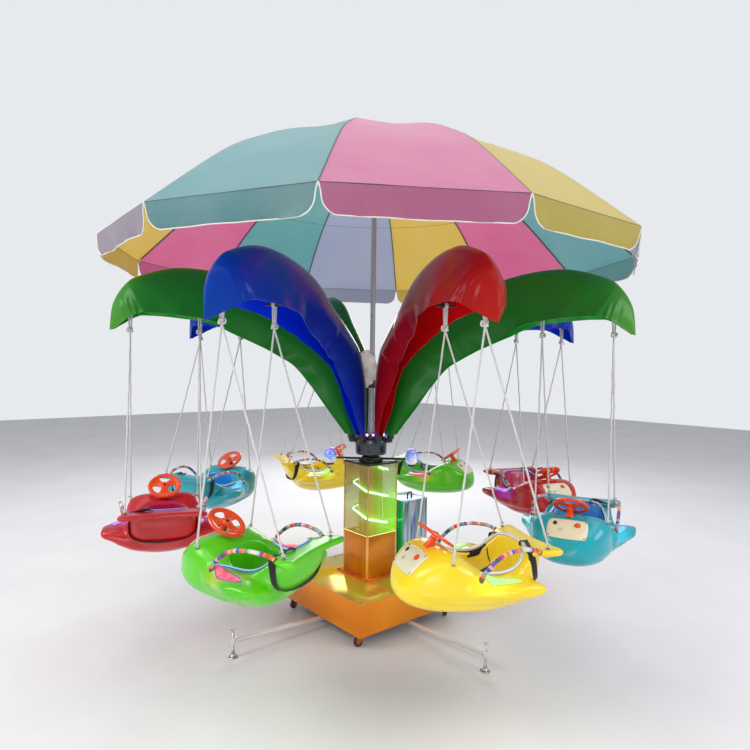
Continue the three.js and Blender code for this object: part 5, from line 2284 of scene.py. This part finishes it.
@dataclass
class ChairTrim:
    """Everything fitted to a shell: edging, grips, straps, lenses, rope eyes and the switch plate."""

    shell: ChairShell
    body: Piece
    grip_path: Rows = ((0.012, 0.205, 0.68), (0.004, 0.208, 0.696), (-0.018, 0.211, 0.722),
                       (-0.056, 0.212, 0.752), (-0.1, 0.211, 0.77), (-0.145, 0.206, 0.776),
                       (-0.18, 0.199, 0.775), (-0.238, 0.186, 0.765), (-0.268, 0.172, 0.748))
    grip_radius: float = 0.0088
    bead: float = 0.0125
    face: Point = (0.214, 0.0, 0.706)
    face_tilt: float = radians(49.0)
    face_lift: float = 0.0058
    plate: tuple[float, float] = (0.057, 0.096)
    edging: float = 0.007
    rim_gap: float = 0.007
    rim_front: Outline = ((0.012, 0.196), (-0.006, 0.174), (-0.03, 0.156), (-0.064, 0.149))
    strap_centre: float = 0.66

    def __post_init__(self) -> None:
        """Take the shell's skin, which the trim lies on, and the rim of its cockpit."""
        self.skin = skin_of(self.body)
        self.rim = self.rim_route()

    def below(self, x: float, y: float, z: float) -> Optional[Vector]:
        """Point of the skin straight below another."""
        return self.skin.ray_cast(Vector((x, y, z)), Vector((0, 0, -1)))[0]

    def rim_route(self) -> list[Vector]:
        """Open route along the rim of the cockpit: from the dash round the seat back and forward again.

        Returns:
            The route.
        """
        back, power = [], self.shell.pit_power
        for i in range(25):
            turn = radians(90 + 180 * i / 24)
            x0, x1, half = self.shell.pit_ring(0.72 - 0.04 * cos(turn))
            c, s = bulged(turn, power, power)
            back.append(((x0 + x1) / 2 - ((x1 - x0) / 2 + self.rim_gap) * abs(c),
                (half + self.rim_gap) * s))
        flat = [*self.rim_front, *back, *[(x, -y) for x, y in reversed(self.rim_front)]]
        points = [Vector((x, y, self.below(x, y, 0.86).z + 0.0015)) for x, y in flat]
        for _ in range(3):
            points = [points[0], *[(a + b * 2 + c) / 4 for a, b, c in zip(points, points[1:], points[2:])],
                      points[-1]]
        return points

    def build_grips(self) -> tuple[Piece, Piece]:
        """Two arched grips threaded with beads, and the clips at their ends.

        Returns:
            The beads and the clips.
        """
        beads, clips = [], []
        for side in SIDES:
            route = smooth_route([(x, side * y, z) for x, y, z in self.grip_path], 120)
            length = sum((b - a).length for a, b in zip(route, route[1:]))

            def profile(t: float, length: float = length) -> float:
                """Radius along the grip: a row of short barrels."""
                share = (t * length / self.bead) % 1.0
                return self.grip_radius * (0.7 + 0.3 * min(1.0, sin(pi * share) * 2.4))

            grip = tube("grip", smooth_route(route, int(length / self.bead * 8)), profile, 10)
            for item in grip.data.attributes.new("string", "FLOAT", "POINT").data:
                item.value = 3.0 if side > 0 else 11.0
            beads.append(grip)
            for at, ahead in ((route[0], route[1] - route[0]), (route[-1], route[-2] - route[-1])):
                clip = turned("clip", [(0.0108, 0), (0.0112, 0.002), (0.0106, 0.016), (0.008, 0.02),
                    (0, 0.02)], 20)
                clips.append(move(clip, aim(at - ahead.normalized() * 0.012, ahead)))
        return join("beads", *beads), join("clips", *clips)

    def build_face(self) -> tuple[Piece, Piece, Piece, Piece]:
        """Switch plate laid on the nose, with all that it carries.

        Returns:
            The pad, the dark parts, the button and the screws.
        """
        turn = shift(self.face) @ spin(self.face_tilt, "Y")
        normal = (turn.to_3x3() @ Vector((0, 0, 1))).normalized()

        def on_hull(a: float, b: float, lift: float) -> Vector:
            """Point over the hull: a metres down the plate, b metres across it."""
            hit = self.skin.ray_cast(turn @ Vector((a, b, 0.08)), -normal)[0]
            return (hit or turn @ Vector((a, b, 0))) + normal * lift

        def seat(a: float, b: float) -> Matrix:
            """Place on the plate's face with +Z along its normal."""
            return shift(on_hull(a, b, self.face_lift)) @ turn.to_3x3().to_4x4()

        def pad_point(u: float, v: float) -> Vector:
            """Point of the pad with round corners.

            Args:
                u: share of the way down the plate.
                v: share of the way across it.

            Returns:
                The point.
            """
            a, b = 2 * u - 1, 2 * v - 1
            edge = max(abs(a), abs(b))
            a, b = blend(a, a * sqrt(1 - b * b / 2), 0.34), blend(b, b * sqrt(1 - a * a / 2), 0.34)
            step = 0.004 * ease(0.955, 1.0, edge) + 0.001 * ease(0.86, 0.88, edge) * ease(0.92, 0.9,
                edge)
            return on_hull(a * self.plate[0], b * self.plate[1], self.face_lift - step)

        pad = modify(sheet("pad", 28, 36, pad_point, angle=50.0), "SOLIDIFY", thickness=0.006, offset=-1.0)
        at = seat(-0.021, -0.058)
        dark = [move(ball("rocker", (0.01, 0.0072, 0.0042), (0, 0, 0.001), 24, 10), at),
                move(ring("bezel", 0.01, 0.0016, (0, 0, 0), 32, 8), at @ Matrix.Diagonal((1.2, 0.9, 1, 1)))]
        for dx, dy in ((0.0, -0.008), (0.0, 0.008), (-0.008, 0.0), (0.008, 0.0), (0.0, 0.0)):
            dark.append(move(rod("dot", (0, 0, -0.002), (0, 0, 0.0016), 0.0018, 10),
                seat(0.012 + dx, -0.03 + dy)))
        button = turned("button", [(0.0112, -0.003), (0.0112, 0.0038), (0.0104, 0.0052), (0.006, 0.006),
                                   (0.0, 0.0062)], 32)
        rimmed = join("button", button, ring("ring", 0.014, 0.0018, (0, 0, 0.0004), 40, 8))
        screws = [move(button_screw(0.003), seat(x, y)) for x in (-0.044, 0.044) for y in (-0.082, 0.082)]
        return pad, join("dark", *dark), move(rimmed, seat(-0.018, 0.046)), join("screws", *screws)

    def build_loop(self) -> tuple[list[Vector], list[Vector]]:
        """Route of the webbing loop under the back of the shell.

        Returns:
            Its points, and where its flat side faces at each.
        """
        loop, faces = [], []
        for i in range(49):
            turn = radians(blend(38.0, -218.0, i / 48))
            out = Vector((0, cos(turn), sin(turn)))
            share = ease(40.0, -60.0, degrees(turn)) - ease(-120.0, -220.0, degrees(turn))
            start = Vector((blend(-0.238, -0.272, share), 0, self.strap_centre)) + out * 0.5
            loop.append(self.skin.ray_cast(start, -out)[0] + out * 0.003)
            faces.append(out)

        def middle(p: Vector) -> Vector:
            """Point on the loop's axis beside another."""
            return Vector((p.x, 0, self.strap_centre))

        for _ in range(3):
            eased = [(a + b + c) / 3 for a, b, c in zip(loop, loop[1:], loop[2:])]
            reach = [max((p - middle(p)).length, (q - middle(q)).length) for p, q in zip(eased, loop[1:-1])]
            loop = [loop[0], *[middle(p) + (p - middle(p)).normalized() * r for p, r in zip(eased, reach)],
                loop[-1]]
        return loop, faces

    def build_straps(self) -> Piece:
        """Webbing: the loop under the back, and a strap inside each wall, one with its loose tail.

        Returns:
            The straps.
        """
        loop, faces = self.build_loop()
        straps = [tube("loop", loop, 0.0165, 8, flat=0.085, up=faces)]
        rim = self.rim
        left = [p + Vector((0, -0.01, -0.018)) for p in rim[1:14]]
        left += [rim[14] + Vector((0.004, -0.004, -0.004)), rim[14] + Vector((-0.004, 0.01, 0.009)),
            loop[2]]
        right = [p + Vector((0, 0.01, -0.018)) for p in rim[::-1][1:9]]
        tail = right[-1]
        right += [tail + Vector((-0.004, 0.012, -0.04)), tail + Vector((0.006, 0.04, -0.085)),
                  Vector((-0.03, -0.03, 0.6)), Vector((-0.018, 0.04, 0.606)), Vector((-0.006, 0.104,
                      0.64)),
                  rim[2] + Vector((0, -0.012, -0.012))]
        wall, flat = Vector((-0.2, 1, 0.35)).normalized(), Vector((0.3, 0, 1))
        turning = [wall.lerp(flat, ease(0.35, 0.6, i / 60)) for i in range(61)]
        for route, up in ((left, [Vector((0.1, -1, 0.5))] * 61), (right, turning)):
            straps.append(tube("inner", smooth_route(route, 60), 0.014, 8, flat=0.09, up=up))
        return join("straps", *straps)

    def build_lens(self) -> tuple[Piece, Piece]:
        """Lamp lenses on the wings, and their soft rims.

        Returns:
            The lenses and their rims.
        """
        lenses, rims = [], []
        for side in SIDES:
            def bulge(u: float, v: float, side: int = side, grow: float = 1.0,
                    lift: float = 0.004) -> Vector:
                """Point of a leaf-shaped lens laid on the wing.

                Args:
                    u: share of the way along it.
                    v: share of the way across it.
                    side: 1 or -1.
                    grow: factor on its size.
                    lift: how far its middle stands out.

                Returns:
                    The point.
                """
                along, across = 2 * u - 1, 2 * v - 1
                wide = 0.024 * grow * max(0.0, 1 - along ** 2) ** 0.7
                x, y = -0.075 + 0.075 * grow * along, side * (0.216 - 0.02 * along + across * wide)
                base = self.below(x, y, 0.8) or Vector((x, y, 0.668))
                rise = lift * max(0.0, (1 - along ** 2) * (1 - across ** 2)) ** 0.5
                return base + Vector((0, 0, 0.0004 + rise))

            lenses.append(sheet("lens", 28, 12, bulge))
            turns = [tau * i / 40 for i in range(40)]
            edge = [bulge(0.5 + 0.5 * cos(a), 0.5 + 0.5 * sin(a) / max(0.25, (1 - cos(a) ** 2) ** 0.5),
                          side, 1.06, 0.0) for a in turns]
            rims.append(tube("rim", smooth_route(edge, 80, True), 0.0022, 8, True))
        return modify(join("lens", *lenses), "SOLIDIFY", thickness=0.003, offset=-1.0), join("rim", *rims)

    def build_eyes(self) -> Piece:
        """Grommets where the ropes enter the shell."""
        return join("eyes", *[ring("eye", 0.0062, 0.0022, (x, side * (HANG_HALF - 0.002), z - 0.0125), 24, 8)
                              for x, z in (HANG_FRONT, HANG_REAR) for side in SIDES])


@dataclass
class SteeringWheel:
    """Three-spoke wheel on its boss, modelled flat on z = 0."""

    radius: float = 0.088
    tilt: float = radians(35.0)
    centre: Point = (0.112, 0.0, 0.803)
    opening: Outline = ((0.029, -0.013), (0.051, -0.029), (0.06, -0.021), (0.0645, 0.0), (0.06, 0.021),
                        (0.051, 0.029), (0.029, 0.013), (0.026, 0.0))

    def build(self) -> list[Piece]:
        """Model the wheel in the chair's frame: dished, with a rolled rim and three openings.

        Returns:
            The wheel, its hub screw and its cone.
        """
        r = self.radius
        wheel = turned("wheel", [(0.013, -0.0095), (0.02, -0.004), (0.03, -0.0028), (r - 0.022, -0.0022),
                                 (r - 0.016, -0.006), (r - 0.008, -0.0068), (r - 0.001, -0.0035), (r,
                                     0.001),
                                 (r - 0.003, 0.0056), (r - 0.01, 0.0068), (r - 0.017, 0.0045), (r - 0.024,
                                     0.0018),
                                 (0.03, 0.0022), (0.02, 0.0052), (0.0165, 0.0098), (0.0, 0.0102)], 72)
        outline = smooth_route([(x, y, 0) for x, y in self.opening], 40, True)[:-1]
        for k in range(3):
            combine(wheel, move(prism("hole", outline, -0.02, 0.02), spin(k * tau / 3)))
        smooth(soften(wheel, 0.0011, 2, 50), 32)
        screw = turned("hub_screw", [(0.0075, 0.01), (0.0078, 0.0112), (0.005, 0.0126), (0.0022, 0.012),
                                     (0.0, 0.0118)], 24)
        cone = turned("cone", [(0.021, -0.066), (0.0185, -0.05), (0.015, -0.03), (0.016, -0.0125),
                               (0.015, -0.0105), (0.0, -0.0105)], 40)
        place = shift(self.centre) @ spin(-self.tilt, "Y")
        return [move(piece, place) for piece in (wheel, screw, cone)]


@dataclass(frozen=True)
class ChairLook:
    """The finishes that change with a chair's colour."""

    shell: GlossShell
    edging: Stripes
    lens: Glow
    lens_rim: Plain
    slot: Slot

    def build(self) -> dict[str, Material]:
        """Wire the materials, by the piece that wears each."""
        return {"shell": self.shell.build(), "edging": self.edging.build(), "lens": self.lens.build(),
                "lens_rim": self.lens_rim.build()}


@dataclass
class Chairs:
    """The eight chairs with all that is fitted to them."""

    shell: ChairShell = field(default_factory=ChairShell)
    wheel: SteeringWheel = field(default_factory=SteeringWheel)
    colours: tuple[str, ...] = ("green", "yellow", "teal", "red", "green", "yellow", "teal", "red")
    looks: dict[str, ChairLook] = field(default_factory=lambda: {
        "green": ChairLook(GlossShell("shell_green", "5ed602", "50c400", None, "ff3048"),
                           Stripes("edging_blue", "a9dcee", "1f4fc0", 0.0, 0.09),
                           Glow("lens_red", "ff2c4c", 0.55, "e8405a"),
                           Plain("lens_rim_green", "3a62d8", 0.3, 500.0, 0.0001, 0.4), Slot.SHELL_GREEN),
        "yellow": ChairLook(GlossShell("shell_yellow", "ffe11f", "fbd81c", None, "8cff3a"),
                            Stripes("edging_white", "eceef2", "5f78c8", 0.06, 0.045),
                            Glow("lens_green", "7dff6a", 0.9, "9adf6a"),
                            Plain("lens_rim_yellow", "e6cf2a", 0.3, 500.0, 0.0001, 0.4), Slot.SHELL_YELLOW),
        "teal": ChairLook(GlossShell("shell_teal", "0aa9b8", "0898a4", "1f90e0", "3fe0ff"),
                          Stripes("edging_pale", "e6ecf4", "23357a", 0.06, 0.06),
                          Glow("lens_cyan", "40c8ff", 0.6, "3fa8d8"),
                          Plain("lens_rim_teal", "1a9ec0", 0.3, 500.0, 0.0001, 0.4), Slot.SHELL_TEAL),
        "red": ChairLook(GlossShell("shell_red", "c80a14", "b40812", "c01550", "a040ff"),
                         Stripes("edging_violet", "b9a6f0", "3b2aa0", 0.0, 0.08),
                         Glow("lens_violet", "b070ff", 0.6, "a060d0"),
                         Plain("lens_rim_red", "c22a4a", 0.3, 500.0, 0.0001, 0.4), Slot.SHELL_RED)})

    def build(self) -> None:
        """Model one chair, copy its pieces to all eight places and dress them."""
        body = self.shell.build()
        trim = ChairTrim(self.shell, body)
        beads, clips = trim.build_grips()
        pad, dark, button, plate_screws = trim.build_face()
        lens, lens_rim = trim.build_lens()
        straps, eyes = trim.build_straps(), trim.build_eyes()
        edging = tube("edging", smooth_route(trim.rim, 150), trim.edging, 14)
        wheel, screw, cone = self.wheel.build()
        orange = Plain("wheel_orange", "f4480e", 0.24, 420.0, 0.00008, 0.5).build()
        cream = Plain("switch_plate", "efe6c4", 0.22, 400.0, 0.00006, 0.6, (0.75, 0.66, 0.42), 0.35)
        parts = (("shell", body, None, None),
                 ("wheel_rim", wheel, orange, Slot.WHEEL),
                 ("wheel_screw", screw, Metal("hub_screw", "4c4844", 0.3).build(), Slot.WHEEL),
                 ("wheel_cone", cone, orange, Slot.WHEEL),
                 ("edging", edging, None, None),
                 ("beads", beads, BeadColours("grip_beads", trim.bead).build(), Slot.WHEEL),
                 ("grip_clips", clips, Plain("grip_clip", "6b4a34", 0.4, 500.0, 0.0001, 0.3).build(), None),
                 ("straps", straps, Webbing("black_webbing", "101113").build(), Slot.PLATE),
                 ("rope_eyes", eyes, Metal("rope_eye", "8f9296", 0.3).build(), Slot.TUBE),
                 ("switch_plate", pad, cream.build(), None),
                 ("switches", dark, Plain("switch_dark", "2c1d10", 0.3, 500.0, 0.0001, 0.4).build(),
                     Slot.PLATE),
                 ("button", button, Plain("button_orange", "e0521c", 0.25, 400.0, 0.0001, 0.6).build(),
                     Slot.WHEEL),
                 ("plate_screws", plate_screws, Metal("plate_screw", "4a4136", 0.35).build(), Slot.TUBE),
                 ("lens", lens, None, Slot.LAMP),
                 ("lens_rim", lens_rim, None, None))
        stands_for = {"shell": "chair", "wheel_rim": "steering_wheel"}
        coloured = {key: look.build() for key, look in self.looks.items()}
        for k, colour in enumerate(self.colours):
            for name, pattern, look, slot in parts:
                node = [f"{stands_for[name]}_{k + 1}"] if name in stands_for else []
                rides = "steering_wheel" if name in ("wheel_rim", "wheel_screw") else "chair"
                fit(copy(pattern, f"{name}_{k + 1}", seat_place(k)), look or coloured[colour][name],
                    f"{rides}_{k + 1}", slot or self.looks[colour].slot, *node)
        discard(*[part[1] for part in parts])


def main() -> None:
    """Build the studio and every sub-assembly, in order."""
    logging.basicConfig(level=logging.INFO, format="%(message)s")
    for assembly in (Studio(), BaseCabinet(), Outriggers(), Casters(), Column(), StageLamps(), ControlBox(),
                     Rotor(), Leaf(), RootLights(), Umbrella(), RopeSet(), Chairs()):
        assembly.build()
        LOG.info("built: %s", type(assembly).__name__)


if __name__ == "__main__":
    main()
